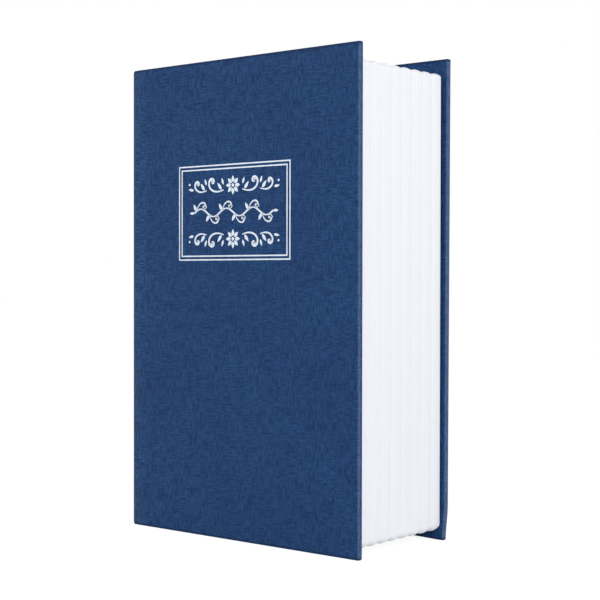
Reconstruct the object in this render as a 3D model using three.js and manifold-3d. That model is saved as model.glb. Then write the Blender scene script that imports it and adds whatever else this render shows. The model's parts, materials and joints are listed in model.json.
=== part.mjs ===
// A safe made to look like a hardback book: a cloth case around a moulded page block that hides a steel box
// with a hinged lid and a cam lock. Millimetres, +X from the spine to the fore edge, -Y towards the front
// cover, +Z up, with the origin under the middle of the book.
import * as THREE from "three";
import { mergeVertices } from "three/addons/utils/BufferGeometryUtils.js";
import Module from "manifold-3d";

const wasm = await Module();
wasm.setup();

// The whole book
const BOOK_WIDTH = 115;
const BOOK_THICKNESS = 55;
const BOOK_HEIGHT = 180;

// Gaps and cuts
const SEAT = 0.05;
const CUT = 1;
const HOLE_PLAY = 0.1;

// The case: cloth outside, board, then a lining of paper
const CLOTH = 0.35;
const BOARD = 1.85;
const LINING = 0.2;
const TURN_IN = 13;
const LINING_MARGIN = 7;
const HINGE_MARGIN = 1;
const COVER_EDGE_ROUND = 0.6;
const COVER_CORNER_ROUND = 0.9;
const CAP_ROUND = 2.4;
const BOARD_EDGE_GAP = 0.1;
const JOINT_AXIS_SHARE = 0.4;

// The page block, a hollow moulding
const FORE_SQUARE = 1.6;
const HEAD_SQUARE = 5.2;
const TAIL_SQUARE = 2.8;
const SPINE_GAP = 0.4;
const COVER_GAP = 0.3;
const BLOCK_REAR_GAP = 0.4;
const BLOCK_WALL = 3.4;
const BLOCK_DRAFT = 0.6;
const BLOCK_SPINE_WALL = 2.1;
const BLOCK_RIM = 4;
const BLOCK_REAR_ROUND = 3.5;
const BLOCK_REAR_FORE_ROUND = 1;
const BLOCK_FRONT_ROUND = 0.8;
const BLOCK_HEAD_ROUND = 1.8;
const BLOCK_TAIL_ROUND = 3.2;
const BLOCK_CORNER_STEPS = 3;
const SIGNATURES = 8;
const LEAVES_PER_SIGNATURE = 6;
const SIGNATURE_DEPTH = 0.8;
const FORE_SIGNATURE_DEPTH = 0.2;
const LEAF_GROOVE = 0.16;
const LEAF_RIDGE_SHARES = [0.3, 0.7];
const RIM_BORDER = 9.5;
const RIM_FORE_BORDER = 8.6;
const RIM_SPINE_BORDER = 3.2;
const RIM_CORNER = 3;

// The steel box
const BOX_PLAY = 0.3;
const BOX_REAR_GAP = 0.1;
const BOX_SHEET = 1;
const BOX_CORNER = 3.5;
const BOX_BEND = 3;
const LIP_WIDTH = 7.4;
const LIP_SPINE_WIDTH = 9.4;
const LIP_CORNER = 2;

// The lid, a shallow pan
const LID_SHEET = 1;
const LID_BEND = 1.2;
const LID_CORNER = 2.2;
const LID_PLAY = 0.8;
const LID_LANDING_GAP = 0.1;

// The lid's hinge
const KNUCKLES = 7;
const HINGE_INSET = 13;
const KNUCKLE_GAP = 0.3;
const KNUCKLE_RADIUS = 1.8;
const PIN_RADIUS = 0.9;
const PIN_PLAY = 0.08;
const PIN_HEAD_RADIUS = 1.4;
const PIN_HEAD = 0.6;
const LEAF_SHEET = 0.8;
const LEAF_WIDTH = 6.2;
const LID_LEAF_WIDTH = 9;
const HINGE_TO_LIP_EDGE = 2;
const BARREL_PLAY = 0.4;

// Rivets and screws
const RIVETS_PER_LEAF = 3;
const RIVET_RADIUS = 1;
const RIVET_HEAD_RADIUS = 1.7;
const RIVET_HEAD = 0.65;
const RIVET_TAIL = 0.5;
const RIVET_DOME_SHARE = 0.65;
const RIVET_SHOULDER_SHARE = 0.8;
const RIVET_INSET = 2.1;
const LID_RIVET_INSET = 3;
const SCREW_RADIUS = 1.1;
const SCREW_HEAD_RADIUS = 2.1;
const SCREW_HEAD = 1.3;
const SCREW_DEPTH = 2.9;
const SCREW_HOLE_FLOOR = 0.9;
const SCREW_SPREAD = 38;
const SCREW_RECESS = 0.6;
const SCREW_RECESS_WIDTH = 0.55;
const SCREW_RECESS_LENGTH = 2.4;

// The cam lock
const LOCK_TO_LID_EDGE = 12.3;
const BEZEL_RADIUS = 8.5;
const BEZEL = 1.75;
const BEZEL_ROUND = 0.6;
const LOCK_RADIUS = 6.5;
const LOCK_FLAT = 5.6;
const LOCK_DEPTH = 8;
const PLUG_RADIUS = 4.2;
const PLUG_NOSE_RADIUS = 3.5;
const PLUG_NOSE = 1;
const PLUG_PLAY = 0.15;
const PLUG_SINK = 0.2;
const TENON = 3.9;
const TENON_LENGTH = 2;
const KEYWAY_WIDTH = 1.8;
const KEYWAY_HEIGHT = 5.6;
const KEYWAY_DEPTH = 7.2;
const STOP_DEPTH = 1.2;
const STOP_REACH = 1.1;
const STOP_ANGLE = THREE.MathUtils.degToRad(30);
const KEY_TURN = THREE.MathUtils.degToRad(90);
const STOP_SLACK = THREE.MathUtils.degToRad(4);
const WASHER_RADIUS = 9;
const WASHER = 0.8;
const NUT_ACROSS = 16;
const NUT = 2;
const WAFERS = 4;
const WAFER = 0.6;
const WAFER_PITCH = 1.6;
const WAFER_WIDTH = 4.6;
const WAFER_HEIGHT = 6.6;
const WAFER_WINDOW = 1.6;
const WAFER_PLAY = 0.1;

// The cam, a strip cranked forward to reach behind the lip
const CAM_SHEET = 1.3;
const CAM_WIDTH = 8;
const CAM_REACH = 15.4;
const CAM_CRANK = 10.3;
const CAM_LIP_GAP = 1;
const CAM_SCREW_RADIUS = 1.3;
const CAM_SCREW_HEAD_RADIUS = 3;
const CAM_SCREW_HEAD = 1.5;
const CAM_SCREW_DEPTH = 4;

// Facets
const ARC_STEPS = 4;
const ROUND_STEPS = 24;
const SMALL_ROUND_STEPS = 16;

// Planes of the case that the other pieces are set out from
const SPINE_X = -BOOK_WIDTH / 2;
const FORE_X = BOOK_WIDTH / 2;
const FRONT_Y = -BOOK_THICKNESS / 2;
const BACK_Y = BOOK_THICKNESS / 2;
const BOARD_FACE = CLOTH + SEAT + BOARD;
const COVER = BOARD_FACE + SEAT + LINING;
const COVER_LENGTH = BOOK_WIDTH - COVER;
const SPINE_LENGTH = BOOK_THICKNESS - 2 * COVER;
const JOINT_AXIS_INSET = COVER * JOINT_AXIS_SHARE;

// Faces of the page block
const BLOCK = {
  left: SPINE_X + COVER + SPINE_GAP,
  right: FORE_X - FORE_SQUARE,
  bottom: TAIL_SQUARE,
  top: BOOK_HEIGHT - HEAD_SQUARE,
  front: FRONT_Y + COVER + COVER_GAP,
  back: BACK_Y - COVER - BLOCK_REAR_GAP,
};
const CAVITY = {
  left: BLOCK.left + BLOCK_SPINE_WALL,
  right: BLOCK.right - BLOCK_WALL,
  bottom: BLOCK.bottom + BLOCK_WALL,
  top: BLOCK.top - BLOCK_WALL,
};
const RIM_MOUTH = {
  left: BLOCK.left + RIM_SPINE_BORDER,
  right: BLOCK.right - RIM_FORE_BORDER,
  bottom: BLOCK.bottom + RIM_BORDER,
  top: BLOCK.top - RIM_BORDER,
};
const RIM_BACK = BLOCK.front + BLOCK_RIM;

// Faces of the steel box
const BOX = {
  left: CAVITY.left + BOX_PLAY,
  right: CAVITY.right - BOX_PLAY,
  bottom: CAVITY.bottom + BOX_PLAY,
  top: CAVITY.top - BOX_PLAY,
};
const LIP_FRONT = RIM_BACK + SEAT;
const LIP_BACK = LIP_FRONT + BOX_SHEET;
const BOX_BACK = BACK_Y - COVER - BOX_REAR_GAP;
const BOX_MOUTH = {
  left: BOX.left + LIP_SPINE_WIDTH,
  right: BOX.right - LIP_WIDTH,
  bottom: BOX.bottom + LIP_WIDTH + BOX_SHEET,
  top: BOX.top - LIP_WIDTH - BOX_SHEET,
};

// The hinge lies on the lip beside the mouth, and the lid lies on the hinge's own leaf
const HINGE_X = BOX_MOUTH.left - HINGE_TO_LIP_EDGE;
const LEAF_BACK = LIP_FRONT - SEAT;
const LEAF_FRONT = LEAF_BACK - LEAF_SHEET;
const HINGE_Y = LEAF_BACK - KNUCKLE_RADIUS;
const MIDDLE_Z = (BLOCK.bottom + BLOCK.top) / 2;
const BOX_LEAF_EDGE = HINGE_X - LEAF_WIDTH;
const LID_LEAF_EDGE = HINGE_X + LID_LEAF_WIDTH;
const BOX_RIVET_X = BOX_LEAF_EDGE + RIVET_INSET;
const LID_RIVET_X = LID_LEAF_EDGE - LID_RIVET_INSET;
const LID = {
  left: HINGE_X + KNUCKLE_RADIUS + BARREL_PLAY,
  right: RIM_MOUTH.right - LID_PLAY,
  bottom: RIM_MOUTH.bottom + LID_PLAY,
  top: RIM_MOUTH.top - LID_PLAY,
};
const HINGE_BOTTOM = LID.bottom + HINGE_INSET;
const HINGE_TOP = LID.top - HINGE_INSET;
const HINGE_LENGTH = HINGE_TOP - HINGE_BOTTOM;
const LID_BACK = LEAF_FRONT - SEAT;
const LID_FRONT = LID_BACK - LID_SHEET;
const LID_EDGE = LIP_FRONT - LID_LANDING_GAP;

// The lock's stations along its own axis, which runs along Y
const LOCK_X = LID.right - LOCK_TO_LID_EDGE;
const BEZEL_BACK = LID_FRONT - SEAT;
const BEZEL_FRONT = BEZEL_BACK - BEZEL;
const LOCK_BACK = BEZEL_BACK + LOCK_DEPTH;
const PLUG_FRONT = BEZEL_FRONT + PLUG_SINK;
const PLUG_SHOULDER = BEZEL_FRONT + PLUG_NOSE + PLUG_PLAY;
const PLUG_BACK = LOCK_BACK;
const CAM_FRONT = PLUG_BACK + SEAT;
const CAM_BACK = CAM_FRONT + CAM_SHEET;
const CAM_TONGUE_FRONT = LIP_BACK + CAM_LIP_GAP;
const WASHER_FRONT = LID_BACK + SEAT;
const NUT_FRONT = WASHER_FRONT + WASHER + SEAT;

// A closed geometry as a solid for joining and cutting
function solidOf(geometry) {
  const plain = geometry.index ? geometry.toNonIndexed() : geometry.clone();
  plain.deleteAttribute("normal");
  plain.deleteAttribute("uv");
  const merged = mergeVertices(plain);
  return new wasm.Manifold(
    new wasm.Mesh({
      numProp: 3,
      vertProperties: merged.attributes.position.array,
      triVerts: merged.index.array,
    }),
  );
}

function meshOf(name, solid, material) {
  const cut = solid.getMesh();
  const geometry = new THREE.BufferGeometry();
  geometry.setAttribute("position", new THREE.BufferAttribute(cut.vertProperties, 3));
  geometry.setIndex(new THREE.BufferAttribute(cut.triVerts, 1));
  geometry.computeVertexNormals();
  const mesh = new THREE.Mesh(geometry, material());
  mesh.name = name;
  return mesh;
}

function joined(solids) {
  return solids.reduce((whole, solid) => whole.add(solid));
}

// Extrusions of a drawn shape along each axis
function extruded(shape, depth) {
  return new THREE.ExtrudeGeometry(shape, { depth, bevelEnabled: false });
}

// A shape drawn in x and z, running from one y to a larger one
function alongY(shape, near, far) {
  const geometry = extruded(shape, far - near);
  geometry.rotateX(Math.PI / 2);
  geometry.translate(0, far, 0);
  return solidOf(geometry);
}

// A shape drawn in x and y
function alongZ(shape, bottom, top) {
  const geometry = extruded(shape, top - bottom);
  geometry.translate(0, 0, bottom);
  return solidOf(geometry);
}

// A shape drawn in y and z
function alongX(shape, left, right) {
  const geometry = extruded(shape, right - left);
  const turn = new THREE.Matrix4().makeBasis(
    new THREE.Vector3(0, 1, 0),
    new THREE.Vector3(0, 0, 1),
    new THREE.Vector3(1, 0, 0),
  );
  geometry.applyMatrix4(turn);
  geometry.translate(left, 0, 0);
  return solidOf(geometry);
}

// A profile of [radius, y] points turned about the Y axis
function turned(profile, steps = ROUND_STEPS) {
  const points = profile.map(([radius, y]) => new THREE.Vector2(radius, y));
  return solidOf(new THREE.LatheGeometry(points, steps));
}

// Round holes along Y at a list of [x, z] places, each longer than the sheet that it goes through
function holesThrough(places, radius, near, far) {
  return joined(places.map(([x, z]) => alongY(circle(x, z, radius + HOLE_PLAY), near - CUT, far + CUT)));
}

function rod(radius, near, far, steps = ROUND_STEPS) {
  return turned([[0, near], [radius, near], [radius, far], [0, far]], steps);
}

function polygon(points) {
  return new THREE.Shape(points.map(([a, b]) => new THREE.Vector2(a, b)));
}

// Points on an arc, from one angle to another in either direction
function arcPoints(x, y, radius, from, to, steps = ARC_STEPS) {
  return Array.from({ length: steps + 1 }, (_, step) => {
    const angle = from + ((to - from) * step) / steps;
    return [x + radius * Math.cos(angle), y + radius * Math.sin(angle)];
  });
}

// A rectangle whose four corners, from the lower left one round, may each have a radius
function rectangle(left, right, bottom, top, radii = [0, 0, 0, 0]) {
  const corners = [
    [left, bottom, 1, 1],
    [right, bottom, -1, 1],
    [right, top, -1, -1],
    [left, top, 1, -1],
  ];
  const points = corners.flatMap(([x, y, inX, inY], corner) => {
    const radius = radii[corner];
    const start = Math.PI + (corner * Math.PI) / 2;
    if (radius === 0) {
      return [[x, y]];
    }
    return arcPoints(x + inX * radius, y + inY * radius, radius, start, start + Math.PI / 2);
  });
  return polygon(points);
}

function evenCorners(box, radius) {
  return rectangle(box.left, box.right, box.bottom, box.top, [radius, radius, radius, radius]);
}

function inset(box, by) {
  return { left: box.left + by, right: box.right - by, bottom: box.bottom + by, top: box.top - by };
}

function circle(x, y, radius, steps = SMALL_ROUND_STEPS) {
  return polygon(arcPoints(x, y, radius, 0, 2 * Math.PI, steps).slice(1));
}

// A band between two arcs round one centre
function arcBand(x, y, inner, outer, from, to, steps = ARC_STEPS) {
  return polygon([
    ...arcPoints(x, y, outer, from, to, steps),
    ...arcPoints(x, y, inner, to, from, steps),
  ]);
}

// Materials
const material = (color, roughness, metalness = 0) => () =>
  new THREE.MeshStandardMaterial({ color, roughness, metalness });
const bookCloth = material(0x2b4771, 0.72);
const greyBoard = material(0x9c8f7a, 0.95);
const endPaper = material(0xf2efe6, 0.9);
const whitePlastic = material(0xf0f4fb, 0.45);
const paintedSteel = material(0x2a2c2f, 0.5, 0.2);
const zincSteel = material(0xb9bcc0, 0.35, 0.9);
const chromedZinc = material(0xd6d8da, 0.15, 1);
const brass = material(0xc2a25a, 0.3, 1);

// One panel of the case lies with its hinge edge at x = 0, its outer face at y = 0 and its foot at z = 0.
// Its block is drawn in from the outside by a margin, and ends at a depth.
function panelBlock(panel, margin, depth) {
  const low = margin;
  const high = BOOK_HEIGHT - margin;
  const wall = depth - margin - SEAT;
  const headRound = Math.min(Math.max(panel.headRound - margin, SEAT), wall);
  const headSection = rectangle(margin, depth, low, high, [headRound, 0, 0, headRound]);
  const block = alongX(headSection, -CUT, panel.length + CUT);
  if (!panel.foreEdge) {
    return block.intersect(alongZ(rectangle(0, panel.length, 0, depth), -CUT, BOOK_HEIGHT + CUT));
  }
  const edge = panel.length - margin;
  const edgeRound = Math.max(COVER_EDGE_ROUND - margin, SEAT);
  const edgeSection = rectangle(0, edge, margin, depth, [0, edgeRound, 0, 0]);
  const cornerRound = Math.max(COVER_CORNER_ROUND - margin, SEAT);
  const outline = rectangle(0, edge, low, high, [0, cornerRound, cornerRound, 0]);
  return block
    .intersect(alongZ(edgeSection, -CUT, BOOK_HEIGHT + CUT))
    .intersect(alongY(outline, -CUT, depth + CUT));
}

// The middle of a panel's inner face, inside the cloth that is turned in over its edges
function panelWindow(panel, margin, near, far) {
  const right = panel.foreEdge ? panel.length - margin : panel.length;
  return alongY(rectangle(0, right, margin, BOOK_HEIGHT - margin), near, far);
}

// The cloth: the block's skin, open at the hinge edges, with its middle cut out of the inner face
function panelCloth(panel) {
  const hollow = panelBlock(panel, CLOTH, BOARD_FACE - CLOTH);
  const window = panelWindow(panel, TURN_IN, BOARD_FACE - CLOTH - SEAT, BOARD_FACE + CUT);
  return panelBlock(panel, 0, BOARD_FACE).subtract(hollow).subtract(window);
}

// The board is pressed back under the turned-in cloth, so that its middle lies level with it
function panelBoard(panel) {
  const wrapped = CLOTH + SEAT;
  const pressed = panelBlock(panel, wrapped, BOARD_FACE - wrapped);
  const middle = panelWindow(panel, TURN_IN + SEAT, BOARD_FACE - wrapped - SEAT, BOARD_FACE);
  const slab = alongY(
    rectangle(BOARD_EDGE_GAP, panel.length - (panel.foreEdge ? 0 : BOARD_EDGE_GAP), 0, BOOK_HEIGHT),
    0,
    BOARD_FACE,
  );
  return pressed.add(middle).intersect(slab);
}

function panelLining(panel) {
  const right = panel.length - (panel.foreEdge ? LINING_MARGIN : HINGE_MARGIN);
  const sheet = rectangle(HINGE_MARGIN, right, LINING_MARGIN, BOOK_HEIGHT - LINING_MARGIN);
  return alongY(sheet, BOARD_FACE + SEAT, COVER);
}

// A strip of cloth round a corner of the book, doubled at head and tail where it is turned in
function jointCloth() {
  const slack = SEAT / COVER;
  const band = (inner) => arcBand(COVER, COVER, inner, COVER, Math.PI + slack, 1.5 * Math.PI - slack);
  const single = alongZ(band(COVER - CLOTH), 0, BOOK_HEIGHT);
  const doubled = band(COVER - 2 * CLOTH);
  const head = alongZ(doubled, BOOK_HEIGHT - TURN_IN, BOOK_HEIGHT);
  const tail = alongZ(doubled, 0, TURN_IN);
  const outline = rectangle(0, COVER + CUT, 0, BOOK_HEIGHT, [CAP_ROUND, 0, 0, CAP_ROUND]);
  return single.add(head).add(tail).intersect(alongY(outline, -CUT, COVER + CUT));
}

// The lines of the leaves: how far each lies through the thickness of the book, and how far the face sinks
// there. Each signature is a low arch, and its leaves are fine ridges with grooves between them.
function leafLines() {
  const leaves = SIGNATURES * LEAVES_PER_SIGNATURE;
  const line = (leaf, groove) => {
    const share = (leaf % LEAVES_PER_SIGNATURE) / LEAVES_PER_SIGNATURE;
    const y = BLOCK.front + ((BLOCK.back - BLOCK.front) * leaf) / leaves;
    return { y, arch: 1 - Math.sin(Math.PI * share), groove };
  };
  const lines = [];
  for (let leaf = 0; leaf < leaves; leaf += 1) {
    lines.push(line(leaf, LEAF_GROOVE));
    LEAF_RIDGE_SHARES.forEach((share) => lines.push(line(leaf + share, 0)));
  }
  lines.push({ y: BLOCK.back, arch: 1, groove: LEAF_GROOVE });
  return lines;
}

// How far a rounded edge draws a face in at a distance from the flat side that the edge runs along
function drawnIn(distance, radius) {
  const short = Math.max(radius - distance, 0);
  return radius - Math.sqrt(radius * radius - short * short);
}

// The block's outline at one line of its leaves, from the spine side round the tail, fore edge and head. The
// moulding tapers a little towards its back, so that it leaves its mould.
function leafOutline({ y, arch, groove }) {
  const toFront = y - BLOCK.front;
  const toBack = BLOCK.back - y;
  const front = drawnIn(toFront, BLOCK_FRONT_ROUND);
  const draft = (BLOCK_DRAFT * toFront) / (toFront + toBack);
  const ends = draft + SIGNATURE_DEPTH * arch + groove + Math.max(front, drawnIn(toBack, BLOCK_REAR_ROUND));
  const fore = FORE_SIGNATURE_DEPTH * arch + groove + Math.max(front, drawnIn(toBack, BLOCK_REAR_FORE_ROUND));
  const right = BLOCK.right - fore;
  const bottom = BLOCK.bottom + ends;
  const top = BLOCK.top - ends;
  const corner = (radius, z, start) => {
    return arcPoints(right - radius, z, radius, start, start + Math.PI / 2, BLOCK_CORNER_STEPS);
  };
  return [
    [BLOCK.left, bottom],
    ...corner(BLOCK_TAIL_ROUND, bottom + BLOCK_TAIL_ROUND, -Math.PI / 2),
    ...corner(BLOCK_HEAD_ROUND, top - BLOCK_HEAD_ROUND, 0),
    [BLOCK.left, top],
  ];
}

// Outlines in x and z, each at its own y, skinned into one closed form
function lofted(sections) {
  const around = sections[0].outline.length;
  const positions = sections.flatMap(({ y, outline }) => outline.flatMap(([x, z]) => [x, y, z]));
  const index = [];
  for (let section = 0; section + 1 < sections.length; section += 1) {
    for (let step = 0; step < around; step += 1) {
      const here = section * around + step;
      const next = section * around + ((step + 1) % around);
      index.push(here, next + around, next, here, here + around, next + around);
    }
  }
  const last = (sections.length - 1) * around;
  for (let step = 1; step + 1 < around; step += 1) {
    index.push(0, step, step + 1);
    index.push(last, last + step + 1, last + step);
  }
  const geometry = new THREE.BufferGeometry();
  geometry.setAttribute("position", new THREE.Float32BufferAttribute(positions, 3));
  geometry.setIndex(index);
  return solidOf(geometry);
}

// The leaves' ridges run along the tail, round the corners, up the fore edge and along the head
function pageForm() {
  return lofted(leafLines().map((line) => ({ y: line.y, outline: leafOutline(line) })));
}

function screwPlaces() {
  const lower = (BOX_MOUTH.bottom + BOX.bottom) / 2;
  const upper = (BOX_MOUTH.top + BOX.top) / 2;
  return [
    [-SCREW_SPREAD, upper],
    [SCREW_SPREAD, upper],
    [-SCREW_SPREAD, lower],
    [SCREW_SPREAD, lower],
  ];
}

function pageBlock() {
  const cavity = alongY(evenCorners(CAVITY, BOX_CORNER + BOX_PLAY), RIM_BACK, BLOCK.back + CUT);
  const mouth = alongY(evenCorners(RIM_MOUTH, RIM_CORNER), BLOCK.front - CUT, RIM_BACK + CUT);
  const holeFloor = BLOCK.front + SCREW_HOLE_FLOOR;
  const holes = holesThrough(screwPlaces(), SCREW_RADIUS, holeFloor + CUT, RIM_BACK);
  return pageForm().subtract(cavity).subtract(mouth).subtract(holes);
}

// A pressed pan: an outline through its depth, with bends along one face
function pressed(box, corner, bend, near, far, bentFace) {
  const nearBend = bentFace === near ? bend : 0;
  const farBend = bentFace === far ? bend : 0;
  const side = rectangle(near, far, box.bottom, box.top, [nearBend, farBend, farBend, nearBend]);
  const plan = rectangle(box.left, box.right, near, far, [nearBend, nearBend, farBend, farBend]);
  return alongY(evenCorners(box, corner), near, far)
    .intersect(alongX(side, box.left - CUT, box.right + CUT))
    .intersect(alongZ(plan, box.bottom - CUT, box.top + CUT));
}

function steelBox() {
  const outside = pressed(BOX, BOX_CORNER, BOX_BEND, LIP_FRONT, BOX_BACK, BOX_BACK);
  const floor = BOX_BACK - BOX_SHEET;
  const inside = pressed(
    inset(BOX, BOX_SHEET),
    BOX_CORNER - BOX_SHEET,
    BOX_BEND - BOX_SHEET,
    LIP_BACK,
    floor,
    floor,
  );
  const mouth = alongY(evenCorners(BOX_MOUTH, LIP_CORNER), LIP_FRONT - CUT, LIP_BACK + CUT);
  return outside
    .subtract(inside)
    .subtract(mouth)
    .subtract(holesThrough(screwPlaces(), SCREW_RADIUS, LIP_FRONT, LIP_BACK))
    .subtract(holesThrough(rivetPlaces(BOX_RIVET_X), RIVET_RADIUS, LIP_FRONT, LIP_BACK));
}

// The screws' heads bear on the back of the lip, and their points run forward into the rim
function boxScrew() {
  const head = rod(SCREW_HEAD_RADIUS, LIP_BACK + SEAT, LIP_BACK + SEAT + SCREW_HEAD, SMALL_ROUND_STEPS);
  const point = RIM_BACK - SCREW_DEPTH;
  const shank = rod(SCREW_RADIUS, point, LIP_BACK + SEAT + SCREW_HEAD / 2, SMALL_ROUND_STEPS);
  return head.add(shank).subtract(crossRecess(LIP_BACK + SEAT + SCREW_HEAD));
}

function crossRecess(face) {
  const half = SCREW_RECESS_LENGTH / 2;
  const thin = SCREW_RECESS_WIDTH / 2;
  const slot = alongY(rectangle(-half, half, -thin, thin), face - SCREW_RECESS, face + CUT);
  const cross = alongY(rectangle(-thin, thin, -half, half), face - SCREW_RECESS, face + CUT);
  return slot.add(cross);
}

// The rivets of a leaf share its length evenly
function rivetPlaces(x) {
  const spacing = HINGE_LENGTH / RIVETS_PER_LEAF;
  const lowest = HINGE_BOTTOM + spacing / 2;
  return Array.from({ length: RIVETS_PER_LEAF }, (_, rivet) => [x, lowest + spacing * rivet]);
}

// A domed rivet whose head lies in front of y = 0 and whose tail is closed behind the grip
function rivet(grip) {
  const dome = RIVET_HEAD_RADIUS * RIVET_DOME_SHARE;
  return turned(
    [
      [0, -RIVET_HEAD],
      [dome, -RIVET_HEAD * RIVET_SHOULDER_SHARE],
      [RIVET_HEAD_RADIUS, 0],
      [RIVET_RADIUS, 0],
      [RIVET_RADIUS, grip],
      [RIVET_HEAD_RADIUS, grip],
      [dome, grip + RIVET_TAIL],
      [0, grip + RIVET_TAIL],
    ],
    SMALL_ROUND_STEPS,
  );
}

// Each leaf carries every other knuckle, joined to it by a strip that runs level with the barrel's back
function hingeLeaf(side, firstKnuckle, leafEdge, rivetX) {
  const pitch = HINGE_LENGTH / KNUCKLES;
  const clearOfBarrel = HINGE_X + side * (KNUCKLE_RADIUS + PIN_PLAY + KNUCKLE_GAP);
  const left = Math.min(leafEdge, clearOfBarrel);
  const right = Math.max(leafEdge, clearOfBarrel);
  const strip = rectangle(left, right, HINGE_BOTTOM, HINGE_TOP);
  const pieces = [alongY(strip, LEAF_FRONT, LEAF_BACK)];
  for (let knuckle = firstKnuckle; knuckle < KNUCKLES; knuckle += 2) {
    const bottom = HINGE_BOTTOM + pitch * knuckle + KNUCKLE_GAP / 2;
    const top = HINGE_BOTTOM + pitch * (knuckle + 1) - KNUCKLE_GAP / 2;
    const reach = [HINGE_X, leafEdge].toSorted((a, b) => a - b);
    pieces.push(alongY(rectangle(...reach, bottom, top), LEAF_FRONT, LEAF_BACK));
    pieces.push(alongZ(circle(HINGE_X, HINGE_Y, KNUCKLE_RADIUS), bottom, top));
  }
  const bore = alongZ(circle(HINGE_X, HINGE_Y, PIN_RADIUS + PIN_PLAY), HINGE_BOTTOM - CUT, HINGE_TOP + CUT);
  const holes = holesThrough(rivetPlaces(rivetX), RIVET_RADIUS, LEAF_FRONT, LEAF_BACK);
  return joined(pieces).subtract(bore).subtract(holes);
}

// The pin is turned about Y here and stood upright where it is placed
function hingePin() {
  const half = HINGE_LENGTH / 2 + SEAT;
  const crown = PIN_HEAD_RADIUS / 2;
  return turned(
    [
      [0, -half - PIN_HEAD],
      [crown, -half - PIN_HEAD],
      [PIN_HEAD_RADIUS, -half - PIN_HEAD / 2],
      [PIN_HEAD_RADIUS, -half],
      [PIN_RADIUS, -half],
      [PIN_RADIUS, half],
      [PIN_HEAD_RADIUS, half],
      [PIN_HEAD_RADIUS, half + PIN_HEAD / 2],
      [crown, half + PIN_HEAD],
      [0, half + PIN_HEAD],
    ],
    ROUND_STEPS / 2,
  );
}

// A round with two flats, as the lock's barrel and its hole in the lid have
function flattedRound(radius, flat) {
  const start = Math.asin(flat / radius);
  return polygon([
    ...arcPoints(0, 0, radius, -start, start, ROUND_STEPS / 3),
    ...arcPoints(0, 0, radius, Math.PI - start, Math.PI + start, ROUND_STEPS / 3),
  ]);
}

// The hole that keeps the lock's barrel from turning
function flattedHole(near, far) {
  return alongY(flattedRound(LOCK_RADIUS + HOLE_PLAY, LOCK_FLAT + HOLE_PLAY), near - CUT, far + CUT);
}

function lid() {
  const outside = pressed(LID, LID_CORNER, LID_BEND, LID_FRONT, LID_EDGE, LID_FRONT);
  const hollow = inset(LID, LID_SHEET);
  hollow.left = LID.left - CUT;
  const inside = alongY(
    rectangle(hollow.left, hollow.right, hollow.bottom, hollow.top, [
      0,
      LID_CORNER - LID_SHEET,
      LID_CORNER - LID_SHEET,
      0,
    ]),
    LID_BACK,
    LID_EDGE + CUT,
  );
  const lockHole = flattedHole(LID_FRONT, LID_BACK).translate([LOCK_X, 0, MIDDLE_Z]);
  const rivetHoles = holesThrough(rivetPlaces(LID_RIVET_X), RIVET_RADIUS, LID_FRONT, LID_BACK);
  return outside.subtract(inside).subtract(lockHole).subtract(rivetHoles);
}

// The lock's pieces are turned about their own axis and placed in the lid together
function lockBody() {
  const bore = PLUG_RADIUS + PLUG_PLAY;
  const noseBore = PLUG_NOSE_RADIUS + PLUG_PLAY;
  const noseEnd = BEZEL_FRONT + PLUG_NOSE;
  const bezel = turned([
    [noseBore, BEZEL_FRONT],
    [BEZEL_RADIUS - BEZEL_ROUND, BEZEL_FRONT],
    [BEZEL_RADIUS, BEZEL_FRONT + BEZEL_ROUND],
    [BEZEL_RADIUS, BEZEL_BACK],
    [bore, BEZEL_BACK],
    [bore, noseEnd],
    [noseBore, noseEnd],
    [noseBore, BEZEL_FRONT],
  ]);
  const barrel = alongY(flattedRound(LOCK_RADIUS, LOCK_FLAT), BEZEL_BACK - SEAT, LOCK_BACK);
  const throughBore = rod(bore, noseEnd, LOCK_BACK + CUT);
  const notchStart = -STOP_ANGLE / 2 - STOP_SLACK;
  const notchEnd = KEY_TURN + STOP_ANGLE / 2 + STOP_SLACK;
  const notch = arcBand(0, 0, bore - SEAT, bore + STOP_REACH, notchStart, notchEnd, ROUND_STEPS / 4);
  return bezel
    .add(barrel.subtract(throughBore))
    .subtract(alongY(notch, LOCK_BACK - STOP_DEPTH, LOCK_BACK + CUT));
}

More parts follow.
